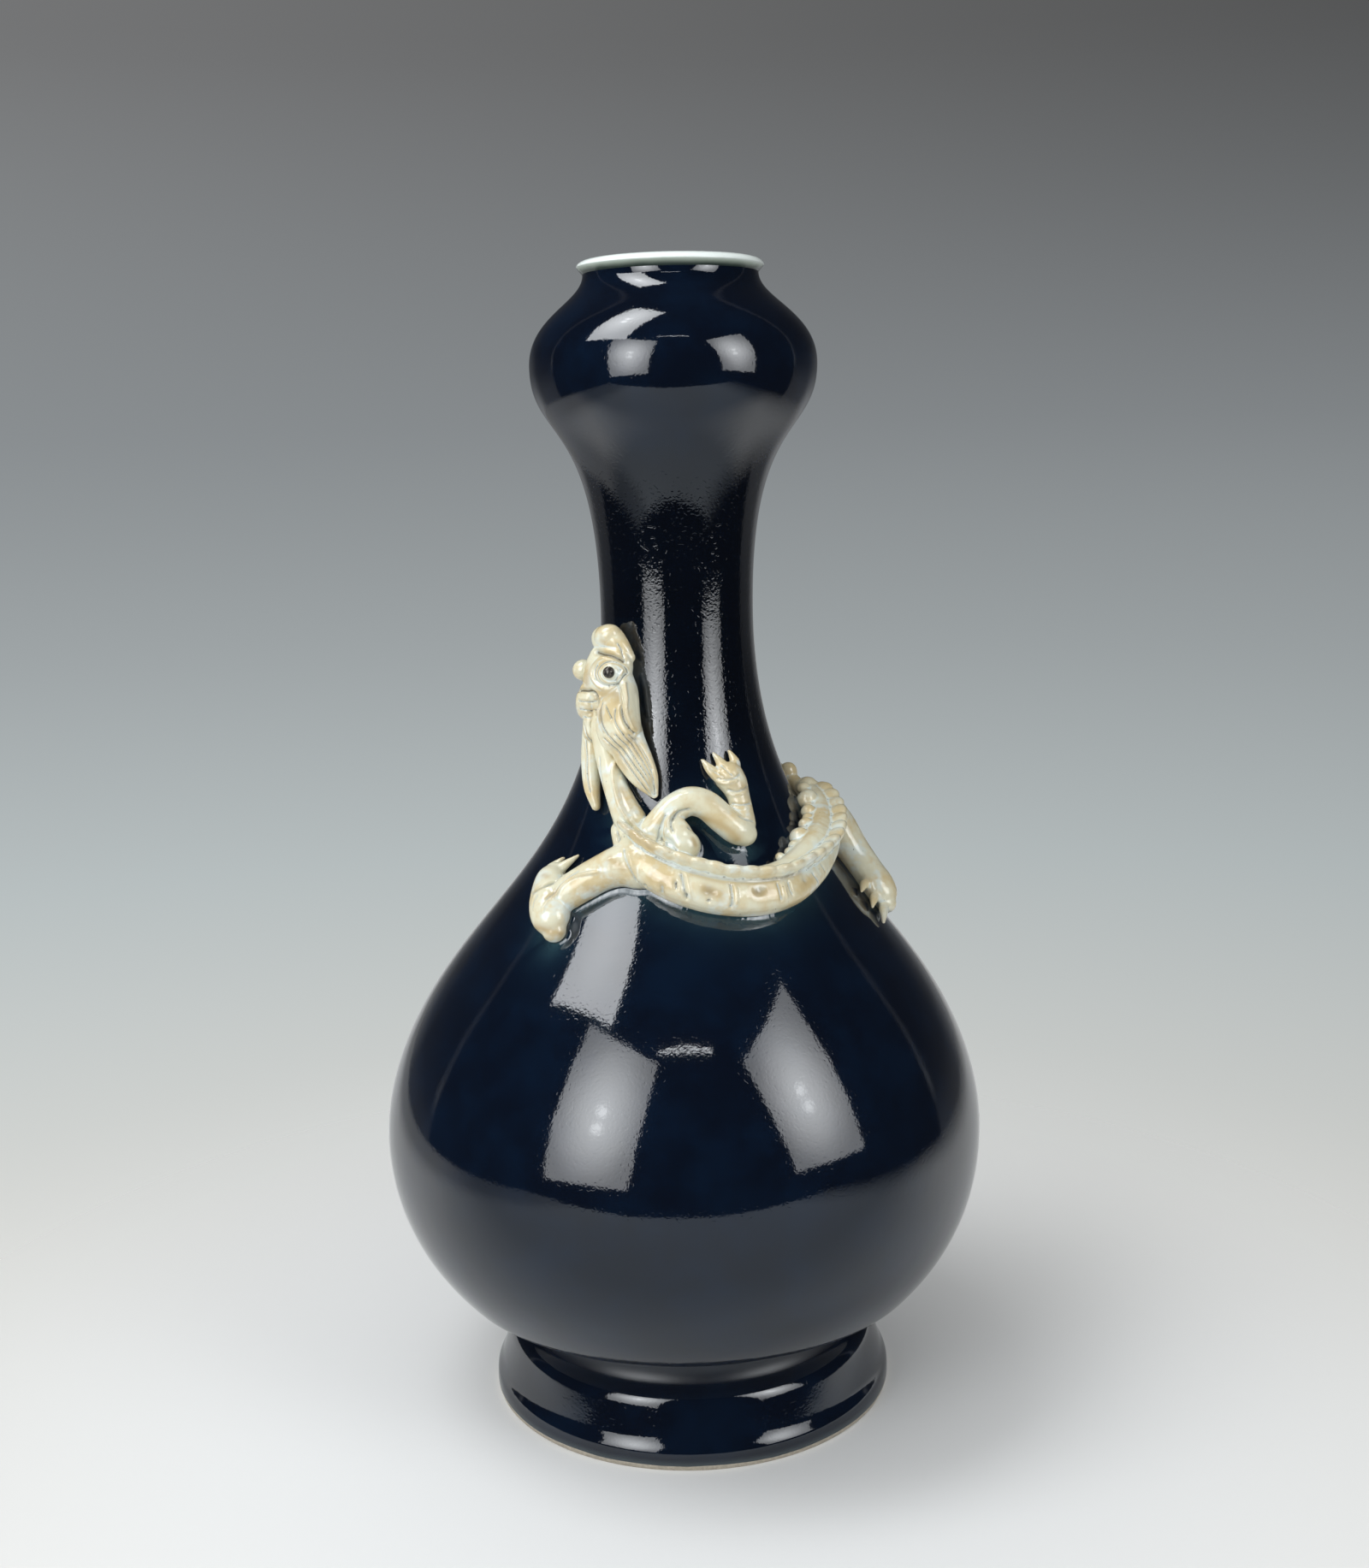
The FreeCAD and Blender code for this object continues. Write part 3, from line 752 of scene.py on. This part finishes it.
# Each toe's root, knuckle and tip: angles, and heights in ten-thousandths
toeSpots = {
    "rightFore": [(21.8, 5690, 15.9, 5800, 12.6, 5885), (23.6, 5720, 22.2, 5847, 19.4, 5932),
                  (28.6, 5700, 30.6, 5847, 29.6, 5940)],
    "leftFore": [(-53, 4850, -54.6, 4950, -52.6, 5050), (-50.3, 4890, -48.2, 4990, -45, 5090),
                 (-49.5, 4780, -45.6, 4879, -37.6, 5030)],
    "rightHind": [(86, 4560, 81.5, 4610, 77.5, 4595), (84.5, 4480, 79.5, 4500, 76, 4470),
                  (84, 4420, 79, 4395, 74.8, 4345)],
    "leftHind": [(138.5, 4680, 135, 4580, 131, 4510), (140.5, 4640, 139.5, 4530, 137, 4440),
                 (142.5, 4670, 145.5, 4560, 145, 4460)],
}


def clawRoll(spots):
    (a, low), (b, knuckle), (c, tip) = pairsOf(spots)
    rows = [(a, low, .8, 1), ((a + b) / 2, (low + knuckle) / 2, .75, .98), (b, knuckle, .66, .84), (c, tip, .3, .3)]
    return roll(rows, 3.5, 3.3)


def claws(*paws):
    return [clawRoll(spots) for paw in paws for spots in toeSpots[paw]]


def rollsOf(sizes):
    return [roll(np.reshape(dragonPaths[name], (-1, 4)), *size) for name, size in sizes.items()]


# Each skin's rolls: width and height in mm, squareness, and for the ridge the length and depth of its scallops
frontRolls = {
    "torso": (13.8, 10.6, 2.5), "neck": (7, 8.2, 2.3), "rightArm": (8.4, 8.4), "rightForearm": (8.4, 7.4),
    "leftArm": (8.4, 8.4), "leftForearm": (8.4, 8), "ridge": (3, 5.8, 1.8, (4.8, .26)),
}
frontParts = rollsOf(frontRolls) + [lump(.6, .52, 3, 5, 4.7, 4.8)] + rollsOf({"curl": (8, 7.4)})
frontParts += claws("rightFore", "leftFore")
# Pellets inside the bend of the back (angle, share of height, radius) and the rib from each to the spine
backPellets = [
    (38.7, .505, 1.3), (44.2, .5068, 1.5), (48.6, .5102, 1.9), (53.7, .516, 2.7), (58.8, .5186, 1.4), (62.8, .5228, 2),
    (67.6, .5262, 1.5), (72.3, .5304, 2), (76.6, .5322, 1.4), (81.6, .5374, 2.9), (87.5, .54, 1.6), (92, .5435, 1.9),
]
frontParts += [lump(angle, share, 2.9, size * 1.05, size * .92, size * 1.1) for angle, share, size in backPellets]
for angle, share, size in backPellets:
    rib = [(angle, share - .002, .9, .9), (angle + .6, share - .01, 1.5, 1), (angle + 1, share - .017, 1.9, .7)]
    frontParts.append(roll(rib, size * 1.3, 3.4))
frontSkin = {"grain": .39, "rounds": 4}
dragonFront = merge("dragon_front", frontParts, **frontSkin)

faceRolls = {
    "head": (16.4, 10, 2.3), "snout": (6.8, 7.4, 2.8), "crest": (7.2, 7.2, 2.2), "rightLock": (10.4, 5.4, 2.3),
    "leftLock": (5.1, 4.9, 2.3), "beard": (13.5, 7.5, 2.3),
}
faceParts = rollsOf(faceRolls) + [
    lump(-36.8, .6605, 8, 2.9, 2.9, 2.6), lump(-69, .6585, 6, 3.15, 3.2, 3.4),
    lump(-46, .691, 5, 4.4, 3.4, 3.8, 20),
] + rollsOf({"cheek": (3.8, 8), "chin": (5.4, 6.5)})
faceSkin = {"grain": .26, "rounds": 4}
dragonFace = merge("dragon_face", faceParts, **faceSkin)

backRolls = {
    "tail": (6.6, 6.6), "fork": (6.6, 6.6), "tip": (6.6, 6.6), "rightHind": (12.6, 11), "leftHind": (10.2, 10.2),
}
backParts = rollsOf(backRolls) + claws("rightHind", "leftHind")
backSkin = {"grain": .42, "rounds": 5}
dragonBack = merge("dragon_back", backParts, **backSkin)
print("dragon rolled")

# The thrown body and bulb stand a hair off the axis: height, spread, shift to the right, swelling, in mm
wobbles = [(85, 48, -1.05, .006), (312, 26, .45, .008)]


def settleOff(piece):
    points = meshArrays(piece)[0]
    for height, spread, shift, swell in wobbles:
        share = np.exp(-((points[:, 2:] - height) / spread) ** 2)
        points[:, :2] += share * (points[:, :2] * swell + (shift, 0))
    placePoints(piece, points)


# Grooves and ridges: depth (under zero it stands proud) and width in mm, then the angle and the height
# of each point, the height in ten-thousandths of the vase's. A stain has a strength in place of a depth
faceStrokes = [
    (.75, .75, -50.2, 6785, -43.2, 6768, -37, 6756, -32.3, 6726, -29.5, 6696),  # between crest and brow
    (.3, .32, -28.9, 6606, -29.7, 6553, -32.2, 6512, -35.7, 6494, -39.7, 6503, -42.9, 6538, -44.3, 6591, -43.3, 6644,
     -40.4, 6688, -36.5, 6706, -32.6, 6694, -29.9, 6659, -28.9, 6606),  # round the eye
    (-.28, .34, -30.5, 6576, -32, 6544, -34.4, 6524, -37.2, 6524, -39.8, 6544, -41.2, 6579, -41.1, 6621, -39.4, 6656,
     -36.8, 6676, -33.9, 6676, -31.6, 6653, -30.4, 6618, -30.5, 6576),  # eye ring
    (-.3, .45, -39.2, 6453, -43.6, 6482, -46.9, 6529, -48.5, 6588, -47.6, 6653, -44.7, 6709,  # brow fold
     -40.3, 6747),
    (.25, .35, -36.3, 6476, -40.1, 6488, -43.4, 6518, -45.6, 6565, -45.9, 6618, -44.3, 6668),  # under the brow
    (.65, .5, -59.2, 6415, -52.4, 6429, -45.9, 6415, -43.2, 6347, -44, 6262, -44.9, 6182),  # snout's step
    (.3, .32, -56, 6324, -50.3, 6324, -44.6, 6344),  # snout crease
    (.26, .3, -55.3, 6250, -49.5, 6250, -44.2, 6274),
    (.22, .28, -53.5, 6188, -49.2, 6188, -45.1, 6206),
    (-.3, .4, -42.2, 6391, -42.6, 6291, -40, 6185, -36.3, 6079),  # cheek strands
    (.4, .3, -40.2, 6338, -40.2, 6238, -38, 6144, -34.3, 6050),
    (.5, .26, -37.3, 6306, -35.2, 6256, -32.8, 6200),
    (.32, .28, -31.5, 6291, -31.1, 6194, -28.6, 6115, -25.9, 6062),
    (.5, .36, -29.7, 6474, -27.9, 6379, -28.3, 6282, -25.9, 6174, -21.5, 6082),  # cheek strand
    (-.4, .5, -27.7, 6532, -25.5, 6394, -24.7, 6259, -21.6, 6109),
    (.34, .28, -37.1, 6026, -30.6, 5932, -24.8, 5818, -18.7, 5688, -12.9, 5559),  # right lock
    (.4, .28, -34.1, 6050, -28, 5947, -22.2, 5832, -16.4, 5703, -12.2, 5568),
    (.34, .28, -30.6, 6068, -25.1, 5965, -20.1, 5850, -15.1, 5721, -11.9, 5579),
    (.4, .28, -27.2, 6074, -22.4, 5971, -18, 5868, -13.8, 5735, -11.7, 5600),
    (.34, .28, -24.3, 6076, -20.2, 5985, -16.3, 5882, -13.2, 5768, -11.6, 5635),
    (.28, .26, -21.9, 6047, -18.6, 5974, -15.2, 5885, -12.9, 5791),
    (.34, .3, -53.4, 6126, -50.1, 5994, -46.5, 5850, -44.3, 5703, -41.4, 5518),  # left lock
    (.36, .3, -49.1, 6147, -46.2, 6015, -43.3, 5882, -41.7, 5732, -40, 5541),
    (.28, .28, -56.3, 6094, -53.3, 5976, -50.2, 5844, -48.1, 5712, -44.6, 5568),
    (.7, .45, -43.4, 6059, -41.2, 5988, -40.5, 5918),  # between the locks
    (.35, .35, -36, 6862, -33.4, 6797, -30.8, 6736),  # crest strip
]
faceStains = [
    (.8, 2, -52.2, 6559, -52.4, 6503),
    (.8, 1.6, -42.3, 6406, -33.2, 6415, -31, 6362),
    (.7, 1.5, -48.3, 6253),
    (.9, .9, -40.7, 6268, -38.6, 6185),
    (.6, 1.5, -23.9, 6056, -20.1, 5935),
    (.7, 1.2, -40.9, 5615, -40.2, 5471),
    (.5, 1.4, -31.4, 5897, -26.4, 5794),
]
frontStrokes = [
    (.55, .5, -.4, 4938, .2, 4865, .7, 4794, 1.2, 4765),  # side creases
    (-.3, .45, 1.3, 4924, 2.1, 4829, 2.9, 4759),
    (.5, .42, 13.9, 4841, 14, 4756, 13.7, 4694),
    (-.3, .4, 15.1, 4832, 15.3, 4753, 15.1, 4697),
    (.38, .36, 28.1, 4803, 28.2, 4735, 28.4, 4691),
    (.38, .36, 31.8, 4803, 31.8, 4744, 32.5, 4709),
    (-.28, .36, 30.1, 4797, 30, 4738, 30.4, 4697),
    (.3, .36, 41.8, 4832, 43, 4791, 44.7, 4759),
    (.3, .3, 47.2, 4876, 48.4, 4826),
    (.8, .42, -1.9, 4876, -1.8, 4826),  # pits
    (.8, .34, 1.1, 4794, 1.2, 4765),
    (.9, .42, 7.3, 4738),
    (.6, .34, 13.4, 4694),
    (.45, 1.5, 5.3, 4800, 10.4, 4774),  # worn hollows of the side
    (.45, 1.5, 19.5, 4768, 24.7, 4759),
    (.35, 1.2, 36.6, 4776, 39.4, 4806),
    (.4, .8, -5.9, 4868, -6.2, 4803),
    (.22, .5, -8.9, 5062, -2.7, 4988, 2.7, 4938, 7.8, 4900, 13.5, 4865, 19.7, 4835, 25.2, 4829, 31.2, 4832,
     37.7, 4859, 44.8, 4903),  # under the spine
    (.38, .34, 18, 5718, 21.3, 5688, 25.5, 5694, 28.6, 5726),  # wrist and forearm rings
    (.38, .34, 21.8, 5612, 25.2, 5585, 29.2, 5597, 32.2, 5621),
    (.38, .34, 22.7, 5506, 26, 5474, 31, 5476),
    (.38, .34, 22.9, 5379, 25.9, 5344, 29.9, 5326),
    (-.28, .34, 18.2, 5688, 21.5, 5659, 26.2, 5671),
    (-.28, .34, 22.1, 5582, 25.3, 5556, 30.2, 5571),
    (-.28, .34, 22.8, 5471, 26, 5444, 31, 5450),
    (.32, .3, 20.9, 5826, 22.5, 5756, 24.7, 5709),  # between the fingers
    (.32, .3, 14.7, 5806, 18.9, 5741, 20.8, 5709),
    (.55, .45, -2.9, 5265, -3.8, 5350, -.9, 5435, 4, 5459),  # shoulder folds
    (-.4, .6, -6.2, 5150, -6.1, 5262, -4.9, 5374, -1.6, 5459),
    (.4, .4, -8.4, 5179, -8.2, 5288, -5.7, 5418),
    (.22, .5, -6.8, 5260, -3.6, 5200, -1.4, 5120),  # fold that runs into the curl
    (.5, .45, -7.7, 5165, -4.3, 5112, .1, 5076, 3.8, 5076),  # under the curl
    (.4, .5, 2.3, 5312, 5.5, 5309, 9.9, 5268, 14, 5200),  # tan shadow under the arm
    (-.5, .55, -34.4, 5924, -32.5, 5762, -28, 5582, -22.8, 5418, -13.8, 5235),  # ridge of the neck
    (.16, .6, -31.8, 5862, -29.5, 5718, -25.1, 5553, -18.9, 5376),  # hollow beside it
    (.35, .35, -40.8, 5868, -38.5, 5712, -33.7, 5532, -27.2, 5338),
    (.75, .38, -48.9, 4691, -46.7, 4718, -44.5, 4759, -42.8, 4815, -41.4, 4871, -38.9, 4938,  # long finger
     -36, 4991),
    (.45, .36, -47.5, 4629, -47.4, 4668, -46.5, 4712, -44.9, 4747),
    (-.45, .42, -39.6, 4688, -39.2, 4747, -37.6, 4821, -34.4, 4882, -30.3, 4918, -26.6, 4941),  # tendon of the palm
    (.3, .36, -40.8, 4676, -40.1, 4732, -38.9, 4806, -36.7, 4876, -34.1, 4929),
    (-.3, .4, -40, 4579, -40.2, 4629, -39.8, 4688),
    (.3, .34, -44.3, 4597, -44.6, 4650, -44.3, 4697),
    (.35, .4, -19.6, 5126, -18.2, 5041, -16.2, 4965, -14.4, 4906),  # elbow fold
    (-.3, .45, -17.5, 5097, -15.8, 5003, -13.8, 4906),
    (.7, .5, -11.5, 4879, -13.2, 4856, -15.5, 4844),  # armpit
    (.9, .4, -25.4, 5279, -24, 5232, -23.1, 5188),  # notches of the neck
    (.6, .3, -22.7, 5232, -22.5, 5203),
]
frontStains = [
    (.9, 1.7, 6.2, 4812, 10.2, 4768),
    (.9, 1.5, 20.3, 4753, 24.7, 4747),
    (.6, 1.2, 35.9, 4747, 40.3, 4782),
    (.8, 1.8, -8.8, 4909, -4.3, 4885),
    (.8, 1, 4.3, 5215, 5.1, 5174),
    (.9, 1.4, 3.9, 5403, 10.7, 5382, 16.4, 5303, 21.1, 5209),
    (.5, 1.6, 11.3, 5532, 16.8, 5394),
    (.6, 1.3, 23.3, 5638, 30.7, 5609),
    (.5, 1.3, 24.7, 5532, 30.4, 5521),
    (.6, .8, 2.7, 4926, 12.8, 4847, 24.6, 4824, 37.2, 4838),
    (.9, 1.4, -42.4, 4503, -36.5, 4506, -34.3, 4574),
    (.7, 1.2, -30.5, 4832, -21.9, 4850),
    (.8, 1.3, -23.6, 5032, -18.7, 4976),
    (.6, 1, -47.5, 4850, -45.9, 4847),
    (.7, 1, -41.3, 4697, -39.8, 4756),
    (.7, 1.5, -26, 5618, -20.9, 5453),
    (.8, 1.6, -16.9, 5218, -10, 5103),
]
facePress = 1.25
sculpt(dragonFront, frontStrokes, frontStains)
sculpt(dragonFace, faceStrokes, faceStains, facePress)
sculpt(dragonBack, [], [])


def toeNodes(end):
    return [f"{side}_{end}_toe_{i}" for side in ("right", "left") for i in (1, 2, 3)]


settle(dragonFront, cream, "dragon_glaze", "dragon_torso", "dragon_neck", "right_upper_arm", "right_forearm",
       "left_upper_arm", "left_forearm", "shoulder_curl", "dorsal_crest", "spine_beads", *toeNodes("fore"))
settle(dragonFace, cream, "dragon_glaze", "dragon_head", "snout", "head_crest", "right_beard_lock", "left_beard_lock",
       "right_eye", "left_eye")
settle(dragonBack, cream, "dragon_glaze", "dragon_tail", "tail_fork", "tail_tip", "right_hind_leg", "left_hind_leg",
       *toeNodes("hind"))
print("dragon laid on")

# Glaze creeps up to the dragon: a raised wet edge, painted contact shade along the joint and a pale thin halo, longest
# below
wetLook = {
    "band": (135, 240),  # heights in mm between which the dragon is
    "reach": 6.2,  # mm round the dragon that gets a finer skin
    "touch": .3,  # gaps under this count as none
    "rise": .55,
    "spread": .95,
    # how far the painted contact shade reaches, in mm
    "joint": .45,
    "haloAbove": 1.8,
    "haloBelow": 5.5,
}


def overWall(points):
    # How far points stand out from the wall at their height
    return np.hypot(points[:, 0], points[:, 1]) - wallAt(points[:, 2])[0]


def seatPoints(skins):
    # Points of the dragon's skins at or under the wall's surface
    found = []
    for skin in skins:
        points = meshArrays(skin)[0]
        over = overWall(points)
        found.append(points[(over < .5) & (over > -1.5)])
    found = np.vstack(found)
    tree = KDTree(len(found))
    for i, point in enumerate(found):
        tree.insert(point, i)
    tree.balance()
    return tree


def gapsTo(tree, points, outer):
    # How far each point of the outer wall is from the dragon, and how far below it
    gap, drop = np.full(len(points), farOff), np.zeros(len(points))
    low, high = wetLook["band"]
    for i in np.nonzero(outer & (points[:, 2] > low) & (points[:, 2] < high))[0]:
        place, index, gap[i] = tree.find(points[i])
        drop[i] = place[2] - points[i][2]
    return gap, drop


def refineNear(piece, tree):
    # Cut the faces near the dragon finer
    points = meshArrays(piece)[0]
    gap, drop = gapsTo(tree, points, overWall(points) > -.5)
    mesh = piece.data
    picked = [all(gap[v] < wetLook["reach"] for v in face.vertices) for face in mesh.polygons]
    choose(piece)
    mesh.vertices.foreach_set("select", np.zeros(len(mesh.vertices), bool))
    mesh.edges.foreach_set("select", np.zeros(len(mesh.edges), bool))
    mesh.polygons.foreach_set("select", picked)
    setMode("EDIT")
    bpy.ops.mesh.select_mode(type="FACE")
    bpy.ops.mesh.subdivide(number_cuts=2)
    bpy.ops.mesh.select_mode(type="VERT")
    setMode("OBJECT")


def wetEdge(piece, tree):
    look = wetLook
    points = meshArrays(piece)[0]
    outer = overWall(points) > -.5
    wallHere, lean = wallAt(points[:, 2])
    points[outer, :2] *= (wallHere / np.hypot(points[:, 0], points[:, 1]))[outer, None]
    gap, drop = gapsTo(tree, points, outer)
    below = np.clip(drop / np.maximum(gap, look["touch"]), 0, 1)
    size = np.sqrt(1 + lean ** 2)
    out = np.stack([points[:, 0] / wallHere / size, points[:, 1] / wallHere / size, -lean / size], 1)
    past = np.maximum(gap - look["touch"], 0) / look["spread"]
    rise = look["rise"] * np.exp(-past ** 2) * (gap < farOff)
    placePoints(piece, points + out * rise[:, None])
    length = look["haloAbove"] + (look["haloBelow"] - look["haloAbove"]) * below
    paint(piece, "halo", np.exp(-gap / length) * (.35 + .65 * below) * (gap < farOff))
    # painted contact shade, darkest where the dragon touches the wall
    paint(piece, "contact_shade", np.clip(1.6 - gap / look["joint"], 0, 1))


seats = seatPoints((dragonFront, dragonFace, dragonBack))
for name in ("shoulder", "neck"):
    refineNear(turnedPieces[name], seats)
    wetEdge(turnedPieces[name], seats)
for piece in (foot, belly, lip, *turnedPieces.values(), dragonFront, dragonFace, dragonBack):
    settleOff(piece)
print("glaze drawn up")

# Lamps, as the glaze mirrors them: two tall soft boxes in front, one high on the left and a thin ceiling strip.
# Each has its place in metres, its turn and tilt, its size, its glow and how bright its edge is beside its middle
softBoxes = {
    "left": ((-.432, -.664, .456), -.735, -.351, (.49, .74), 5.3, .32),
    "right": ((.626, -.557, .493), 1.209, -.417, (.495, .764), 4.8, .3),
    "high": ((-.373, -.109, 1.156), -.717, -.486, (.424, .973), 6.5, .62),
    "strip": ((0, -1.25, 1.5), 0, -.85, (.62, .02), 7, 1),
}
boxFade = {"spread": .615, "centre": .02, "bulbs": .45, "bulbsOff": .045, "tint": (.97, 1, 1.03)}


def farFrom(across, along):
    return (across * across + along * along).power(.5)


def boxCloth(name, size, glow, edge):
    # Brightest in the middle, where the two bulbs shine through the cloth
    material, where = newMaterial("cloth_" + name)
    level = 1
    if name != "strip":
        x, y = axesOf(where)["X"], axesOf(where)["Y"]
        far = farFrom(x / size[0], (y - boxFade["centre"]) / size[1])
        level = edge + (1 - edge) * (1 - far.between(0, boxFade["spread"]))
        for spot in (-boxFade["bulbsOff"], boxFade["bulbsOff"]):
            level = level + boxFade["bulbs"] * (1 - farFrom(y - spot, x).between(.008, .05))
    inputs = {"Color": (*boxFade["tint"], 1), "Strength": level * glow}
    return finish(material, addNode(where.tree, "Emission", inputs))


for name, (place, turn, tilt, size, glow, edge) in softBoxes.items():
    bpy.ops.mesh.primitive_plane_add(size=1)
    lamp = bpy.context.object
    lamp.name = "softbox_" + name
    for vertex in lamp.data.vertices:
        vertex.co.x *= size[0]
        vertex.co.y *= size[1]
    leant = Matrix.Rotation(turn, 3, "Z") @ Matrix.Rotation(tilt, 3, "X")
    side, facing, up = (leant @ Vector(axis) for axis in ((1, 0, 0), (0, 1, 0), (0, 0, 1)))
    lamp.matrix_world = Matrix.Translation(place) @ Matrix((-side, up, facing)).transposed().to_4x4()
    lamp.data.materials.append(boxCloth(name, size, glow, edge))
    lamp.visible_camera = False

# Paper sweep: floor and backdrop run into each other with no edge. As the camera sees it, the sweep carries painted
# light and shade, darker higher up and brighter on the left
paperLook = {
    "floor": (.9, .9, .885),
    "mirrored": (.36, .391, .417),  # the floor in front, as the glaze shows it
    # the sweep's brightness by angle as the camera sees it: painted shade, darker higher up
    "levels": [(-90, (.92, .92, .9)), (-33, (.85, .85, .825)), (-23.5, (.67, .675, .65)), (-12.8, (.455, .498, .504)),
               (-6, (.33, .358, .368)), (.6, (.233, .25, .261)), (11.6, (.134, .136, .138)), (30, (.1, .1, .1)),
               (90, (.1, .1, .1))],
    "glazeLevels": [(-90, (.6, .6, .6)), (-30, (.52, .53, .54)), (-10, (.36, .37, .38)), (.6, (.105, .11, .115)),
                    (10, (.045, .047, .05)), (30, (.03, .03, .032)), (90, (.03, .03, .032))],
    "fill": (.4, .405, .41),  # soft light all round, more of it from the left
    "fillLean": .85,
    "leftShare": .85,  # how much brighter the left is, high up
    "leftLeast": .16,  # and low down
    "rimGlow": 7,  # the sweep's grazing edge, seen at the vase's rim
    "near": .09,  # m, the lit floor begins to melt into the sweep here
    "far": .36,
    "left": -.72,  # the paper's edges, seen only in the glaze
    "right": .56,
    "front": -.52,
    "asideDim": .42,
    "room": (.02, .022, .026),  # the dark room in front
}


def sweepLevels(direction, levels):
    # Brightness of the sweep by the angle over the horizon
    tilt = addNode(direction.tree, "Math", {0: axesOf(direction)["Z"]}, operation="ARCSINE")
    stops = [((angle + 90) / 180, level) for angle, level in levels]
    return ramp((tilt * (180 / math.pi) + 90) / 180, stops)


def scaled(colour, factor):
    return addNode(factor.tree, "VectorMath", {0: colour, "Scale": factor}, operation="SCALE")


def buildWorld():
    look = paperLook
    world = bpy.data.worlds.new("room")
    scene.world = world
    world.use_nodes = True
    tree = world.node_tree
    tree.nodes.clear()
    direction = addNode(tree, "TexCoord")["Generated"]
    x, y, z = (axesOf(direction)[axis] for axis in "XYZ")
    lean = z.between(-.05, .25) * look["leftShare"] + look["leftLeast"]
    # painted light and shade on the sweep: darker higher up, brighter on the left
    seenSweep = scaled(sweepLevels(direction, look["levels"]), 1 - x * lean)
    behind = y.between(.325, .36) * .3 + y.between(.7, .92) * .7
    rim = y.between(.31, .345) * (1 - y.between(.36, .4)) * z.between(-.05, .1)
    glazeSweep = scaled(sweepLevels(direction, look["glazeLevels"]), 1 + rim * look["rimGlow"])
    rays = addNode(tree, "LightPath")
    fill = scaled(look["fill"], 1 - x * look["fillLean"])
    colour = mix(rays["Is Glossy Ray"], fill, mix(behind, look["room"], glazeSweep))
    colour = mix(rays["Is Camera Ray"], colour, seenSweep)
    emit = addNode(tree, "Background", {"Color": colour, "Strength": 1})
    addNode(tree, "OutputWorld", {"Surface": emit})


def buildFloor():
    look = paperLook
    bpy.ops.mesh.primitive_plane_add(size=6, location=(0, 0, 0))
    floor = bpy.context.object
    floor.name = "floor"
    material, where = newMaterial("paper")
    tree = where.tree
    x, y = axesOf(where)["X"], axesOf(where)["Y"]
    far = addNode(tree, "VectorMath", {0: where}, operation="LENGTH")["Value"]
    melt = far.between(look["near"], look["far"])
    lit = x.between(look["left"] - .05, look["left"] + .1)
    lit = lit * (1 - x.between(look["right"] - .15, look["right"] + .1)) * (y > look["front"])
    rays = addNode(tree, "LightPath")
    seen = rays["Is Camera Ray"]
    clear = (seen * melt + (1 - seen) * (1 - lit)).clamped()
    mirrored = mix(y.between(-.16, .06), look["mirrored"], look["floor"])
    aside = (x * x).power(.5).between(.3, .48) * look["asideDim"]
    colour = mix(rays["Is Glossy Ray"], look["floor"], scaled(mirrored, 1 - aside))
    height = noise(where, 300, 3) * (.02 * mm)
    paper = skinShader(colour, height, {"Roughness": .9, "Specular IOR Level": .1})
    gone = addNode(tree, "BsdfTransparent")
    finish(material, addNode(tree, "MixShader", {0: clear, 1: paper, 2: gone}))
    floor.data.materials.append(material)


buildWorld()
buildFloor()
print("stage set")

for name in ("right_pupil", "left_pupil"):
    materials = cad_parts[name].data.materials
    materials.clear()
    materials.append(iron)
